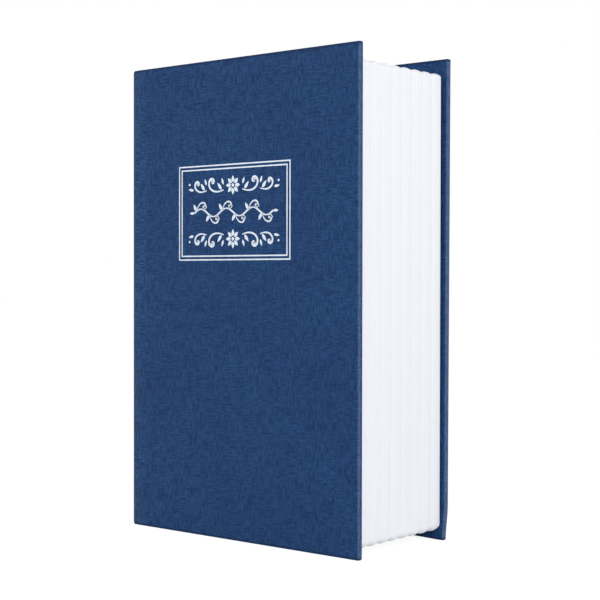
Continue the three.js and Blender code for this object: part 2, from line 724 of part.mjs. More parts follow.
function lockPlug() {
  const plug = turned([
    [0, PLUG_FRONT],
    [PLUG_NOSE_RADIUS, PLUG_FRONT],
    [PLUG_NOSE_RADIUS, PLUG_SHOULDER],
    [PLUG_RADIUS, PLUG_SHOULDER],
    [PLUG_RADIUS, PLUG_BACK],
    [0, PLUG_BACK],
  ]);
  const half = TENON / 2;
  const tenon = alongY(rectangle(-half, half, -half, half), PLUG_BACK - SEAT, PLUG_BACK + TENON_LENGTH);
  const lug = alongY(
    arcBand(0, 0, PLUG_RADIUS - CUT, PLUG_RADIUS + STOP_REACH, -STOP_ANGLE / 2, STOP_ANGLE / 2),
    LOCK_BACK - STOP_DEPTH + PLUG_PLAY,
    PLUG_BACK,
  );
  const keyway = alongY(
    rectangle(-KEYWAY_WIDTH / 2, KEYWAY_WIDTH / 2, -KEYWAY_HEIGHT / 2, KEYWAY_HEIGHT / 2),
    PLUG_FRONT - CUT,
    PLUG_FRONT + KEYWAY_DEPTH,
  );
  const slots = waferStations().map((y) => {
    const width = WAFER_WIDTH / 2 + WAFER_PLAY;
    const height = PLUG_RADIUS + CUT;
    return alongY(rectangle(-width, width, -height, height), y - WAFER_PLAY, y + WAFER + WAFER_PLAY);
  });
  const screwHole = rod(
    CAM_SCREW_RADIUS + HOLE_PLAY,
    PLUG_BACK + TENON_LENGTH - CAM_SCREW_DEPTH - HOLE_PLAY,
    PLUG_BACK + TENON_LENGTH + CUT,
    SMALL_ROUND_STEPS,
  );
  return plug.add(tenon).add(lug).subtract(joined([keyway, ...slots, screwHole]));
}

function waferStations() {
  return Array.from({ length: WAFERS }, (_, wafer) => PLUG_SHOULDER + WAFER + wafer * WAFER_PITCH);
}

// A wafer is a thin plate with round ends and a window for the key
function wafer() {
  const halfWidth = WAFER_WIDTH / 2;
  const halfHeight = WAFER_HEIGHT / 2;
  const plate = alongY(rectangle(-halfWidth, halfWidth, -halfHeight, halfHeight), 0, WAFER);
  const round = rod(PLUG_RADIUS - WAFER_PLAY, -CUT, WAFER + CUT, ROUND_STEPS);
  const windowHalf = WAFER_WINDOW / 2;
  const windowHeight = halfHeight / 2;
  const window = alongY(rectangle(-windowHalf, windowHalf, -windowHeight, windowHeight), -CUT, WAFER + CUT);
  return plate.intersect(round).subtract(window);
}

function lockWasher() {
  const back = WASHER_FRONT + WASHER;
  return rod(WASHER_RADIUS, WASHER_FRONT, back).subtract(flattedHole(WASHER_FRONT, back));
}

function lockNut() {
  const across = NUT_ACROSS / 2 / Math.cos(Math.PI / 6);
  const hexagon = Array.from({ length: 6 }, (_, corner) => {
    const angle = (corner * Math.PI) / 3;
    return [across * Math.cos(angle), across * Math.sin(angle)];
  });
  const hole = rod(LOCK_RADIUS + HOLE_PLAY, NUT_FRONT - CUT, NUT_FRONT + NUT + CUT);
  return alongY(polygon(hexagon), NUT_FRONT, NUT_FRONT + NUT).subtract(hole);
}

// At rest the cam hangs down, clear of the lip; its crank brings the tongue forward past the nut
function lockCam() {
  const heel = CAM_WIDTH / 2;
  const tongueBack = CAM_TONGUE_FRONT + CAM_SHEET;
  const crank = polygon([
    [CAM_FRONT, heel],
    [CAM_BACK, heel],
    [CAM_BACK, -CAM_CRANK - CAM_SHEET],
    [tongueBack, -CAM_CRANK - CAM_SHEET],
    [tongueBack, -CAM_REACH],
    [CAM_TONGUE_FRONT, -CAM_REACH],
    [CAM_TONGUE_FRONT, -CAM_CRANK],
    [CAM_FRONT, -CAM_CRANK],
  ]);
  const plan = rectangle(-heel, heel, -CAM_REACH, heel, [heel / 2, heel / 2, heel, heel]);
  const square = TENON / 2 + HOLE_PLAY;
  const hole = rectangle(-square, square, -square, square);
  return alongX(crank, -heel, heel)
    .intersect(alongY(plan, CAM_TONGUE_FRONT - CUT, CAM_BACK + CUT))
    .subtract(alongY(hole, CAM_FRONT - CUT, CAM_BACK + CUT));
}

function camScrew() {
  const seat = PLUG_BACK + TENON_LENGTH + SEAT;
  const shank = rod(CAM_SCREW_RADIUS, seat - CAM_SCREW_DEPTH, seat + CAM_SCREW_HEAD / 2, SMALL_ROUND_STEPS);
  const head = rod(CAM_SCREW_HEAD_RADIUS, seat, seat + CAM_SCREW_HEAD, SMALL_ROUND_STEPS);
  return shank.add(head).subtract(crossRecess(seat + CAM_SCREW_HEAD));
}

// A group that turns about an upright axis, holding pieces that are placed in the book's own frame
function hinged(x, y, pieces) {
  const swing = new THREE.Group();
  const back = new THREE.Group();
  swing.position.set(x, y, 0);
  back.position.set(-x, -y, 0);
  back.add(...pieces);
  swing.add(back);
  return swing;
}

function frontCover() {
  const panel = { length: COVER_LENGTH, headRound: COVER_EDGE_ROUND, foreEdge: true };
  const cover = new THREE.Group();
  cover.position.set(SPINE_X + COVER, FRONT_Y, 0);
  cover.add(
    meshOf("front_cloth", panelCloth(panel), bookCloth),
    meshOf("front_board", panelBoard(panel), greyBoard),
    meshOf("front_endpaper", panelLining(panel), endPaper),
  );
  return hinged(SPINE_X + JOINT_AXIS_INSET, FRONT_Y + JOINT_AXIS_INSET, [cover]);
}

function spine() {
  const panel = { length: SPINE_LENGTH, headRound: CAP_ROUND, foreEdge: false };
  const back = new THREE.Group();
  back.position.set(SPINE_X, BACK_Y - COVER, 0);
  back.rotation.z = -Math.PI / 2;
  back.add(
    meshOf("spine_cloth", panelCloth(panel), bookCloth),
    meshOf("spine_board", panelBoard(panel), greyBoard),
    meshOf("spine_lining", panelLining(panel), endPaper),
  );
  const joint = meshOf("front_joint_cloth", jointCloth(), bookCloth);
  joint.position.set(SPINE_X, FRONT_Y, 0);
  return hinged(SPINE_X + JOINT_AXIS_INSET, BACK_Y - JOINT_AXIS_INSET, [back, joint, frontCover()]);
}

// The back cover mirrors the front one
function backCover() {
  const panel = { length: COVER_LENGTH, headRound: COVER_EDGE_ROUND, foreEdge: true };
  const cover = new THREE.Group();
  cover.position.set(SPINE_X + COVER, BACK_Y, 0);
  cover.scale.y = -1;
  cover.add(
    meshOf("back_cloth", panelCloth(panel), bookCloth),
    meshOf("back_board", panelBoard(panel), greyBoard),
    meshOf("back_endpaper", panelLining(panel), endPaper),
  );
  const joint = meshOf("rear_joint_cloth", jointCloth(), bookCloth);
  joint.position.set(SPINE_X, BACK_Y, 0);
  joint.scale.y = -1;
  const group = new THREE.Group();
  group.add(cover, joint);
  return group;
}

function lockPieces() {
  const lock = new THREE.Group();
  lock.position.set(LOCK_X, 0, MIDDLE_Z);
  lock.add(
    meshOf("lock_body", lockBody(), chromedZinc),
    meshOf("lock_washer", lockWasher(), zincSteel),
    meshOf("lock_nut", lockNut(), zincSteel),
    meshOf("lock_plug", lockPlug(), chromedZinc),
    meshOf("lock_cam", lockCam(), zincSteel),
    meshOf("cam_screw", camScrew(), zincSteel),
  );
  waferStations().forEach((y, index) => {
    const plate = meshOf(`wafer_${index + 1}`, wafer(), brass);
    plate.position.y = y;
    lock.add(plate);
  });
  return lock;
}

function rivets(name, rivetX, front, grip) {
  return rivetPlaces(rivetX).map(([x, z], index) => {
    const mesh = meshOf(`${name}_${index + 1}`, rivet(grip), zincSteel);
    mesh.position.set(x, front, z);
    return mesh;
  });
}

function lidAssembly() {
  return hinged(HINGE_X, HINGE_Y, [
    meshOf("lid", lid(), paintedSteel),
    meshOf("lid_hinge_leaf", hingeLeaf(1, 1, LID_LEAF_EDGE, LID_RIVET_X), zincSteel),
    ...rivets("lid_rivet", LID_RIVET_X, LID_FRONT - SEAT, LEAF_BACK - LID_FRONT + 2 * SEAT),
    lockPieces(),
  ]);
}

function boxAssembly() {
  const box = new THREE.Group();
  const pin = meshOf("hinge_pin", hingePin(), zincSteel);
  pin.rotation.x = Math.PI / 2;
  pin.position.set(HINGE_X, HINGE_Y, MIDDLE_Z);
  box.add(
    meshOf("page_block", pageBlock(), whitePlastic),
    meshOf("steel_box", steelBox(), paintedSteel),
    meshOf("box_hinge_leaf", hingeLeaf(-1, 0, BOX_LEAF_EDGE, BOX_RIVET_X), zincSteel),
    pin,
    ...rivets("box_rivet", BOX_RIVET_X, LEAF_FRONT - SEAT, LIP_BACK - LEAF_FRONT + 2 * SEAT),
  );
  screwPlaces().forEach(([x, z], index) => {
    const screw = meshOf(`box_screw_${index + 1}`, boxScrew(), zincSteel);
    screw.position.set(x, 0, z);
    box.add(screw);
  });
  return box;
}

const bookSafe = new THREE.Group();
bookSafe.add(backCover(), spine(), boxAssembly(), lidAssembly());

export default bookSafe;
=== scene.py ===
import json
import math
import random

import bmesh
import bpy
import numpy as np
from mathutils import Matrix, Vector

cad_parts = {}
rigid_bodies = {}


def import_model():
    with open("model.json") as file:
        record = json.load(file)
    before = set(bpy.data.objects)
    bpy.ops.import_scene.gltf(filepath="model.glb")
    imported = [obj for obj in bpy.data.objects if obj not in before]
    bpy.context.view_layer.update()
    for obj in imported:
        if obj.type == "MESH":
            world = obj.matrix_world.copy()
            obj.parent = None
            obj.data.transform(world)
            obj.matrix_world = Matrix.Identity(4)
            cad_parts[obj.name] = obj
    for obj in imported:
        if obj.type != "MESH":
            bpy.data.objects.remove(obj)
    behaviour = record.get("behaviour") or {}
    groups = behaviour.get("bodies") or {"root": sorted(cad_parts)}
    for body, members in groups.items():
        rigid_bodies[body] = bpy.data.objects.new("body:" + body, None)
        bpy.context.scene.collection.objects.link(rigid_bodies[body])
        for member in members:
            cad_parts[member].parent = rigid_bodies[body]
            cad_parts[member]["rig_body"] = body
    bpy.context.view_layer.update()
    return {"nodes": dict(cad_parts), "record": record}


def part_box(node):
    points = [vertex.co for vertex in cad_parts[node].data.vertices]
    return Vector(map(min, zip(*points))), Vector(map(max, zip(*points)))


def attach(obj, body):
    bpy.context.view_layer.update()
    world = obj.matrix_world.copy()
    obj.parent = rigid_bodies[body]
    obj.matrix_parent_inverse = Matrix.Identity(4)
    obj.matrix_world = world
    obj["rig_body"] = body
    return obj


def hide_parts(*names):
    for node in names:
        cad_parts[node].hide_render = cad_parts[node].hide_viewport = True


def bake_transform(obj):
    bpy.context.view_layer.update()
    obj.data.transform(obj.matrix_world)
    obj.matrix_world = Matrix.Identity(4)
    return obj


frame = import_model()

MM = 0.001

# The camera, fitted to the edges of the covers
CAMERA_PLACE = (0.3603, -0.4150, 0.0980)
CAMERA_YAW = 40.385
CAMERA_PITCH = -0.877
CAMERA_ROLL = 0.093
CAMERA_LENS = 85.37

# The room's light, the floor's glow where it is looked at, and the lamps: place, size, power and colour
ROOM_LIGHT = 0.48
FLOOR_GLOW = 1.24
FLOOR_GLOW_SHARE = 0.72
LAMP_TARGET = (0.0, 0.0, 0.09)
LAMPS = {
    "left_softbox": ((-0.75, -0.85, 0.75), 0.8, 4.0, (1.0, 0.99, 0.98)),
    "right_softbox": ((1.05, -0.25, 0.5), 0.9, 7.2, (0.98, 0.99, 1.0)),
}

# Planes of the case, from the frame
FRONT_LOW, FRONT_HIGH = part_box("front_cloth")
CASE_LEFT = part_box("spine_cloth")[0].x
CASE_RIGHT = FRONT_HIGH.x
CASE_FRONT = FRONT_LOW.y
CASE_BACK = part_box("back_cloth")[1].y
CASE_HEIGHT = FRONT_HIGH.z
HINGE_LINE = FRONT_LOW.x
PANEL_DEPTH = FRONT_HIGH.y - CASE_FRONT
PANEL_LENGTH = CASE_RIGHT - HINGE_LINE
JOINT_ROUND = HINGE_LINE - CASE_LEFT
SPINE_FRONT = CASE_FRONT + JOINT_ROUND
SPINE_REAR = CASE_BACK - JOINT_ROUND

INTO_CASE = Vector((1, 0, 0))
BACKWARDS = Vector((0, 1, 0))
UPWARDS = Vector((0, 0, 1))

# Places on the flat cloth, which is laid out from the front cover round the spine to the back cover
JOINT_LENGTH = JOINT_ROUND * math.pi / 2
SPINE_LENGTH = SPINE_REAR - SPINE_FRONT
SPINE_FROM = HINGE_LINE - JOINT_LENGTH
REAR_FROM = SPINE_FROM - SPINE_LENGTH - JOINT_LENGTH

# The case's cloth
CLOTH = 0.35 * MM
TURN_IN = 13 * MM
EDGE_ROUND = 0.6 * MM
FOLD_ROUND = 0.3 * MM
CAP_ROUND = 3.4 * MM
JOINT_DEPTH = 1.6 * MM
CLOTH_STEP = 4 * MM
FOLD_STEP = 0.3 * MM
ROUND_STEPS = 4
JOINT_STEPS = 12

# The paper and cloth turned over the raw edges of the boards
LINING = 0.15 * MM
LINING_MARGIN = 7 * MM
LINING_LAP = 1.4 * MM
LINING_PAST = 0.03 * MM
LINING_FOLD = 0.5 * MM
LINING_STEP = 20 * MM

# The back cover has bowed out at its head, and its lower fore corner has been knocked in
BOW = 0.9 * MM
BOW_LEVEL = 0.35
KNOCK = 1.3 * MM
KNOCK_LENGTH = 16 * MM
KNOCK_HEIGHT = 13 * MM
KNOCK_STEP = 2 * MM
BOW_STEP_ALONG = 16 * MM
BOW_STEP_UP = 24 * MM

# How far in from an edge the cloth is drawn lighter, partly as wear from handling and partly as painted
# sheen, also beside the spine's round
FORE_SHEEN_WEAR = 0.8 * MM
FOLD_SHEEN_WEAR = 0.9 * MM
FULL_SHEEN_WEAR = 0.35 * MM
SPINE_SHEEN_WEAR = 2.6 * MM
SPINE_FULL_SHEEN_WEAR = 0.4 * MM
BESIDE_SHEEN_WEAR = 13 * MM
BESIDE_FULL_SHEEN_WEAR = 1 * MM
# How far in from the head and tail the cloth is drawn darker
DARK_END = 1.2 * MM
DARK_END_FULL = 0.7 * MM

# The stamped title frame on the front cover, in mm but for the foil's thickness
FOIL = 0.04 * MM
TITLE_LEFT = -30.2
TITLE_RIGHT = 25.9
TITLE_BOTTOM = 104.9
TITLE_TOP = 140.4
TITLE_LINE = 0.54
TITLE_INNER = 1.4
TITLE_ROW_PITCH = 10
TITLE_DASH = 1.5
WAVER = 0.02
LINE_SHARES = (0.88, 1.06)

# Its ornament. Scrolls: start, length and line. Leaves: along, up, turn, length and width, and the
# vine's scroll the same, with its line for a width
ROSETTE_RADIUS = 3.6
SCROLLS = ((4.8, 15.5, 0.76), (13.6, 12.5, 0.7))
SCROLL_DROP = 1.6
SCROLL_TURN = 0.35
SCROLL_LEAVES = ((1, -1.5, 0.9, 3.4, 1.3), (0.1, 0.4, 1.25, 2.6, 1))
END_LEAF = (20.4, -1.3, 0.15, 2.8, 1.0)
END_BEAD = (22.6, 0.9, 0.45)
VINE_REACH = 20
VINE_WAVES = 3
VINE_HEIGHT = 1.5
VINE_LINE = 0.68
VINE_SCROLL = (-2.1, 0.9, 1.25, 9.6, 0.58)
VINE_LEAVES = ((-2.3, 0.8, 2.1, 3.0, 1.3), (1.2, 1.3, 0.5, 2.4, 1.0))
VINE_TIP = (2.6, 1.0)

# Rivets and screws
RIVET_SHANK = 0.98 * MM
RIVET_HEAD = 0.62 * MM
RIVET_TAIL = 0.48 * MM
SCREW_SHANK = 1.05 * MM
SCREW_TIP = 0.35 * MM
SCREW_HEAD = 1.3 * MM
SCREW_RECESS = 0.6 * MM
SCREW_RECESS_WIDTH = 0.5 * MM
SCREW_RECESS_LENGTH = 2.3 * MM
SCREW_RECESS_CORNER = 0.1 * MM

# How far, in mm, sharp edges are eased, and how sharp they have to be, in degrees
EASED_EDGES = {
    "steel_box": 0.12,
    "lid": 0.15,
    "box_hinge_leaf": 0.08,
    "lid_hinge_leaf": 0.08,
    "hinge_pin": 0.08,
    "lock_body": 0.12,
    "lock_plug": 0.08,
    "lock_washer": 0.08,
    "lock_nut": 0.15,
    "lock_cam": 0.12,
    "cam_screw": 0.1,
    **{f"wafer_{count}": 0.04 for count in range(1, 5)},
    "front_endpaper": 0.02,
    "spine_lining": 0.02,
}
BOARD_EDGE = 0.15 * MM
PAPER_EDGE = 0.02 * MM
EASED_ANGLE = 32

# The page block's moulded leaves
SIGNATURES = 8
LEAVES_PER_SIGNATURE = 6
LINES_PER_LEAF = 7
SIGNATURE_DEPTH = 0.8 * MM
FORE_SIGNATURE_DEPTH = 0.2 * MM
LEAF_GROOVE = 0.16 * MM
BLOCK_REAR_ROUND = 3.5 * MM
BLOCK_REAR_FORE_ROUND = 1 * MM
BLOCK_FRONT_ROUND = 0.8 * MM
BLOCK_HEAD_ROUND = 1.8 * MM
BLOCK_TAIL_ROUND = 3.2 * MM
BLOCK_DRAFT = 0.6 * MM
BLOCK_STEP = 6 * MM
BLOCK_CORNER_STEPS = 8
CUTTER_CORNER_STEPS = 6
BOX_PLAY = 0.3 * MM
BOX_SEAT = 0.05 * MM
BOX_CORNER = 3.8 * MM
LID_PLAY = 0.8 * MM
MOUTH_SPINE_WALL = 3.2 * MM
MOUTH_CORNER = 3 * MM

# Points closer than this are one point, and cutters reach this far past what they cut
WELD = 0.001 * MM
OVERRUN = 5 * MM


# Node trees: each call adds one node and gives back one of its outputs
class Tree:
    def __init__(self, tree, material=None):
        self.tree = tree
        self.material = material

    def add(self, kind, inputs=None, out=0, **settings):
        node = self.tree.nodes.new(kind)
        for name, value in settings.items():
            setattr(node, name, value)
        for key, value in (inputs or {}).items():
            socket = node.inputs[key]
            if isinstance(value, bpy.types.NodeSocket):
                self.tree.links.new(value, socket)
            else:
                socket.default_value = value
        return node.outputs[out] if node.outputs else node

    def math(self, operation, first, second=0.0, third=0.0):
        return self.add("ShaderNodeMath", {0: first, 1: second, 2: third}, operation=operation)

    def times(self, first, second):
        return self.math("MULTIPLY", first, second)

    def plus(self, first, second):
        return self.math("ADD", first, second)

    def minus(self, first, second):
        return self.math("SUBTRACT", first, second)

    def larger(self, first, second):
        return self.math("MAXIMUM", first, second)

    def ramp(self, value, low, high, start=0.0, end=1.0, kind="SMOOTHSTEP"):
        inputs = {"Value": value, "From Min": low, "From Max": high, "To Min": start, "To Max": end}
        return self.add("ShaderNodeMapRange", inputs, interpolation_type=kind)

    def part(self, vector, axis):
        return self.add("ShaderNodeSeparateXYZ", {0: vector}, out=axis)

    def stretched(self, place, scale):
        return self.add("ShaderNodeVectorMath", {0: place, 1: scale}, operation="MULTIPLY")

    def noise(self, place, scale, detail=2.0, roughness=0.5, out=0):
        """Noise with one scale, or with one for each axis."""
        if isinstance(scale, tuple):
            place = self.stretched(place, scale)
            scale = 1.0
        inputs = {"Vector": place, "Scale": scale, "Detail": detail, "Roughness": roughness}
        return self.add("ShaderNodeTexNoise", inputs, out=out)

    def bump(self, height, distance, strength=1.0):
        inputs = {"Height": height, "Distance": distance, "Strength": strength}
        return self.add("ShaderNodeBump", inputs)

    def mix(self, share, first, second):
        """A colour between two others; 6, 7 and 2 are the node's colour sockets."""
        return self.add("ShaderNodeMix", {0: share, 6: first, 7: second}, out=2, data_type="RGBA")


def new_material(name):
    material = bpy.data.materials.new(name)
    material.use_nodes = True
    material.node_tree.nodes.clear()
    return Tree(material.node_tree, material)


def finished(tree, colour, roughness, normal, specular=0.5, metallic=0.0):
    """The tree's material, with its shader."""
    inputs = {"Base Color": colour, "Roughness": roughness, "Normal": normal}
    inputs |= {"Specular IOR Level": specular, "Metallic": metallic}
    shader = tree.add("ShaderNodeBsdfPrincipled", inputs)
    tree.add("ShaderNodeOutputMaterial", {"Surface": shader})
    return tree.material


def rgba(red, green, blue):
    return (red, green, blue, 1.0)


def object_place(tree):
    return tree.add("ShaderNodeTexCoord", out="Object")


# Finishes
CLOTH_BLUE = rgba(0.0147, 0.0605, 0.1920)
CLOTH_PALE = rgba(0.0172, 0.0775, 0.2225)
CLOTH_DARK = rgba(0.0024, 0.0240, 0.0870)
CLOTH_FLECK = rgba(0.0340, 0.0960, 0.2350)
# A lighter tone for the edges, standing partly for wear and partly for painted sheen
CLOTH_WORN_SHEEN = rgba(0.1050, 0.1500, 0.2550)

# How closely thread marks lie across and along the threads, per metre, and how far they stray
SHORT_MARKS = (2000.0, 270.0)
LONG_MARKS = (1400.0, 95.0)
THREAD_STRAY = (0.0009, 0.0009, 0.0)


def worn_and_sheen_edges(tree):
    """Where the cloth is drawn lighter, partly as wear from handling and partly as painted sheen: the fore
    edges, the back one most, and the spine.
    """
    place = object_place(tree)
    x = tree.part(place, "X")
    y = tree.part(place, "Y")
    fore = tree.ramp(x, CASE_RIGHT - FORE_SHEEN_WEAR, CASE_RIGHT - FULL_SHEEN_WEAR)
    outer_fold = tree.ramp(tree.math("ABSOLUTE", y), CASE_BACK - FOLD_SHEEN_WEAR, CASE_BACK - FULL_SHEEN_WEAR, 0.4, 1.0)
    back_edge = tree.ramp(y, 0.0, CASE_BACK - PANEL_DEPTH, 0.0, 0.95)
    round_share = tree.ramp(x, CASE_LEFT + SPINE_FULL_SHEEN_WEAR, CASE_LEFT + SPINE_SHEEN_WEAR, 1.0, 0.0)
    beside = tree.ramp(x, CASE_LEFT + BESIDE_FULL_SHEEN_WEAR, CASE_LEFT + BESIDE_SHEEN_WEAR, 0.3, 0.0)
    fore = tree.times(fore, tree.larger(outer_fold, back_edge))
    return tree.larger(fore, tree.larger(round_share, beside))


def darkened_ends(tree):
    """1 along the head and tail, where the cloth is turned in, for drawing it darker there."""
    z = tree.part(object_place(tree), "Z")
    head = tree.ramp(z, CASE_HEIGHT - DARK_END, CASE_HEIGHT - DARK_END_FULL)
    tail = tree.ramp(z, DARK_END_FULL, DARK_END, 1.0, 0.0)
    return tree.larger(head, tail)


def thread_marks(tree, place, spacing, level):
    """Noise drawn out along upright or level threads."""
    across, along = spacing
    scale = (along, across, 1.0) if level else (across, along, 1.0)
    return tree.noise(place, scale, 2.0, 0.55)


def book_cloth():
    """Blue book cloth with a pressed linen grain, whose upright and level threads take turns to show."""
    tree = new_material("book_cloth")
    place = tree.add("ShaderNodeUVMap", uv_map="cloth")
    warp = tree.noise(place, 260.0, 1.0, out="Color")
    shift = tree.stretched(warp, THREAD_STRAY)
    bent = tree.add("ShaderNodeVectorMath", {0: place, 1: shift}, operation="ADD")
    upright = thread_marks(tree, bent, SHORT_MARKS, False)
    level = thread_marks(tree, bent, SHORT_MARKS, True)
    patches = tree.ramp(tree.noise(place, 90.0), 0.4, 0.6, 0.25, 0.85)
    upright = tree.times(upright, patches)
    level = tree.times(level, tree.minus(1.0, patches))
    short = tree.ramp(tree.plus(upright, level), 0.43, 0.58, 0.0, 0.85)
    long_upright = tree.ramp(thread_marks(tree, bent, LONG_MARKS, False), 0.555, 0.62)
    long_level = tree.ramp(thread_marks(tree, bent, LONG_MARKS, True), 0.555, 0.62)
    broken = tree.ramp(tree.noise(place, 260.0), 0.46, 0.58, 0.2, 0.9)
    long = tree.times(tree.larger(long_upright, long_level), broken)
    strokes = tree.larger(short, long)
    grain = tree.noise(place, 2600.0, 2.0, 0.6)
    drift = tree.ramp(tree.noise(place, 26.0, 3.0, 0.6), 0.3, 0.7)
    light = tree.mix(drift, CLOTH_BLUE, CLOTH_PALE)
    # Edges drawn lighter, partly as wear and partly as painted sheen, where the thread marks show less
    worn = tree.times(worn_and_sheen_edges(tree), tree.ramp(grain, 0.2, 0.6, 0.4, 0.95))
    light = tree.mix(worn, light, CLOTH_WORN_SHEEN)
    depth = tree.times(strokes, tree.ramp(worn, 0.0, 1.0, 0.9, 0.4))
    colour = tree.mix(depth, light, CLOTH_DARK)
    colour = tree.mix(tree.ramp(grain, 0.45, 0.7, 0.0, 0.5), colour, CLOTH_FLECK)
    # The head and tail drawn darker
    colour = tree.mix(tree.times(darkened_ends(tree), 0.85), colour, CLOTH_DARK)
    height = tree.minus(tree.times(grain, 0.35), strokes)
    normal = tree.bump(height, 0.00007, 0.7)
    roughness = tree.ramp(strokes, 0.0, 1.0, 0.6, 0.75)
    return finished(tree, colour, roughness, normal, specular=0.16)


def silver_foil():
    """Stamped foil, thin enough for the grain under it to show, with specks where it didn't take."""
    tree = new_material("silver_foil")
    place = object_place(tree)
    grain = tree.noise(place, (2300.0, 2300.0, 600.0), 3.0, 0.6)
    missing = tree.ramp(grain, 0.66, 0.74, 0.0, 0.7)
    colour = tree.mix(missing, rgba(0.74, 0.81, 0.90), rgba(0.045, 0.085, 0.18))
    bare = tree.ramp(missing, 0.0, 0.7, 0.45, 0.0)
    normal = tree.bump(grain, 0.00003, 0.5)
    roughness = tree.ramp(grain, 0.3, 0.7, 0.34, 0.5)
    return finished(tree, colour, roughness, normal, metallic=bare)


def white_plastic():
    """Moulded white plastic, with fine leaf lines along the faces, also drawn darker as painted shade, and a
    slight unevenness.
    """
    tree = new_material("white_plastic")
    place = object_place(tree)
    lines = tree.noise(place, (14.0, 2600.0, 14.0), 2.0, 0.55)
    coarse = tree.noise(place, (9.0, 620.0, 9.0))
    cloud = tree.noise(place, 35.0)
    height = tree.plus(tree.times(lines, 0.6), coarse)
    normal = tree.bump(height, 0.00005, 0.55)
    # Painted shade: the leaf lines are drawn darker in colour
    line_shade = tree.ramp(lines, 0.56, 0.74, 0.0, 0.35)
    colour = tree.mix(line_shade, rgba(0.862, 0.870, 0.905), rgba(0.755, 0.765, 0.81))
    colour = tree.mix(tree.ramp(cloud, 0.35, 0.7, 0.0, 0.25), colour, rgba(0.865, 0.88, 0.93))
    roughness = tree.ramp(coarse, 0.3, 0.7, 0.42, 0.55)
    return finished(tree, colour, roughness, normal, specular=0.4)


def end_paper():
    """Uncoated off-white paper with short fibres."""
    tree = new_material("end_paper")
    place = object_place(tree)
    fibres = tree.noise(place, (900.0, 900.0, 3200.0), 3.0, 0.65)
    cloud = tree.noise(place, 60.0, 3.0)
    colour = tree.mix(tree.ramp(fibres, 0.4, 0.7), rgba(0.80, 0.775, 0.70), rgba(0.86, 0.835, 0.765))
    colour = tree.mix(tree.ramp(cloud, 0.4, 0.7, 0.0, 0.3), colour, rgba(0.77, 0.74, 0.66))
    normal = tree.bump(fibres, 0.00003, 0.5)
    return finished(tree, colour, 0.9, normal, specular=0.2)


def grey_board():
    """Raw binder's board: grey pulp with light and dark flecks."""
    tree = new_material("grey_board")
    place = object_place(tree)
    pulp = tree.noise(place, 900.0, 4.0, 0.7)
    flecks = tree.noise(place, 2600.0)
    colour = tree.mix(tree.ramp(pulp, 0.3, 0.7), rgba(0.27, 0.225, 0.16), rgba(0.37, 0.31, 0.225))
    colour = tree.mix(tree.ramp(flecks, 0.66, 0.74, 0.0, 0.7), colour, rgba(0.11, 0.095, 0.075))
    normal = tree.bump(pulp, 0.00008, 0.7)
    return finished(tree, colour, 0.95, normal, specular=0.2)


def painted_steel():
    """Black powder coat with the fine orange peel that it bakes to."""
    tree = new_material("painted_steel")
    place = object_place(tree)
    peel = tree.noise(place, 1500.0)
    worn = tree.ramp(tree.noise(place, 180.0, 4.0, 0.7), 0.62, 0.75, 0.0, 0.35)
    colour = tree.mix(worn, rgba(0.020, 0.022, 0.025), rgba(0.040, 0.042, 0.046))
    normal = tree.bump(peel, 0.00006, 0.6)
    roughness = tree.ramp(peel, 0.3, 0.7, 0.36, 0.5)
    return finished(tree, colour, roughness, normal)


def metal(name, base, dull, rough, drawn):
    """Bare or plated metal: grain drawn along one axis, with a slight cloud in its tone."""
    tree = new_material(name)
    place = object_place(tree)
    lines = tree.noise(place, drawn, 3.0, 0.6)
    cloud = tree.noise(place, 120.0)
    colour = tree.mix(tree.ramp(cloud, 0.3, 0.75), base, dull)
    normal = tree.bump(lines, 0.000004, 0.3)
    roughness = tree.ramp(lines, 0.3, 0.7, rough * 0.8, rough * 1.25)
    return finished(tree, colour, roughness, normal, metallic=1.0)


# Base colour, dull colour, roughness and how the grain is drawn along x, y and z
METALS = (
    ("zinc_steel", rgba(0.485, 0.503, 0.527), rgba(0.44, 0.455, 0.475), 0.36, (900.0, 900.0, 2600.0)),
    ("chromed_zinc", rgba(0.672, 0.686, 0.701), rgba(0.60, 0.61, 0.63), 0.13, (1200.0, 1200.0, 1200.0)),
    ("wafer_brass", rgba(0.539, 0.361, 0.102), rgba(0.45, 0.29, 0.08), 0.3, (2600.0, 500.0, 500.0)),
)
FINISHES = {
    "book_cloth": book_cloth(),
    "grey_board": grey_board(),
    "end_paper": end_paper(),
    "white_plastic": white_plastic(),
    "painted_steel": painted_steel(),
    **{name: metal(name, *tones) for name, *tones in METALS},
}
SLOTS = {part["node"]: part["material_slot"] for part in frame["record"]["subparts"]}


def in_scene(name, data):
    thing = bpy.data.objects.new(name, data)
    bpy.context.scene.collection.objects.link(thing)
    return thing


# Stage: camera, room, floor and lamps
def place_camera():
    camera = in_scene("camera", bpy.data.cameras.new("camera"))
    camera.data.sensor_width = 36.0
    camera.data.lens = CAMERA_LENS
    camera.data.clip_start = 0.01
    camera.data.clip_end = 20.0
    turn = Matrix.Rotation(math.radians(CAMERA_YAW), 3, "Z")
    tilt = Matrix.Rotation(math.radians(90 + CAMERA_PITCH), 3, "X")
    roll = Matrix.Rotation(math.radians(CAMERA_ROLL), 3, "Z")
    camera.rotation_euler = (turn @ tilt @ roll).to_euler()
    camera.location = CAMERA_PLACE
    bpy.context.scene.camera = camera


def seen_directly(tree):
    """1 where the camera, a reflection or a clear piece looks straight at a surface."""
    rays = tree.add("ShaderNodeLightPath").node.outputs
    seen = tree.larger(rays["Is Camera Ray"], rays["Is Glossy Ray"])
    return tree.larger(seen, rays["Is Transmission Ray"])


def light_room():
    world = bpy.data.worlds.new("room")
    world.use_nodes = True
    world.node_tree.nodes.clear()
    tree = Tree(world.node_tree)
    light = tree.add("ShaderNodeBackground", {"Color": rgba(0.97, 0.985, 1.0), "Strength": ROOM_LIGHT})
    white = tree.add("ShaderNodeBackground", {"Color": rgba(1.0, 1.0, 1.0), "Strength": 1.0})
    both = tree.add("ShaderNodeMixShader", {0: seen_directly(tree), 1: light, 2: white})
    tree.add("ShaderNodeOutputWorld", {"Surface": both})
    bpy.context.scene.world = world


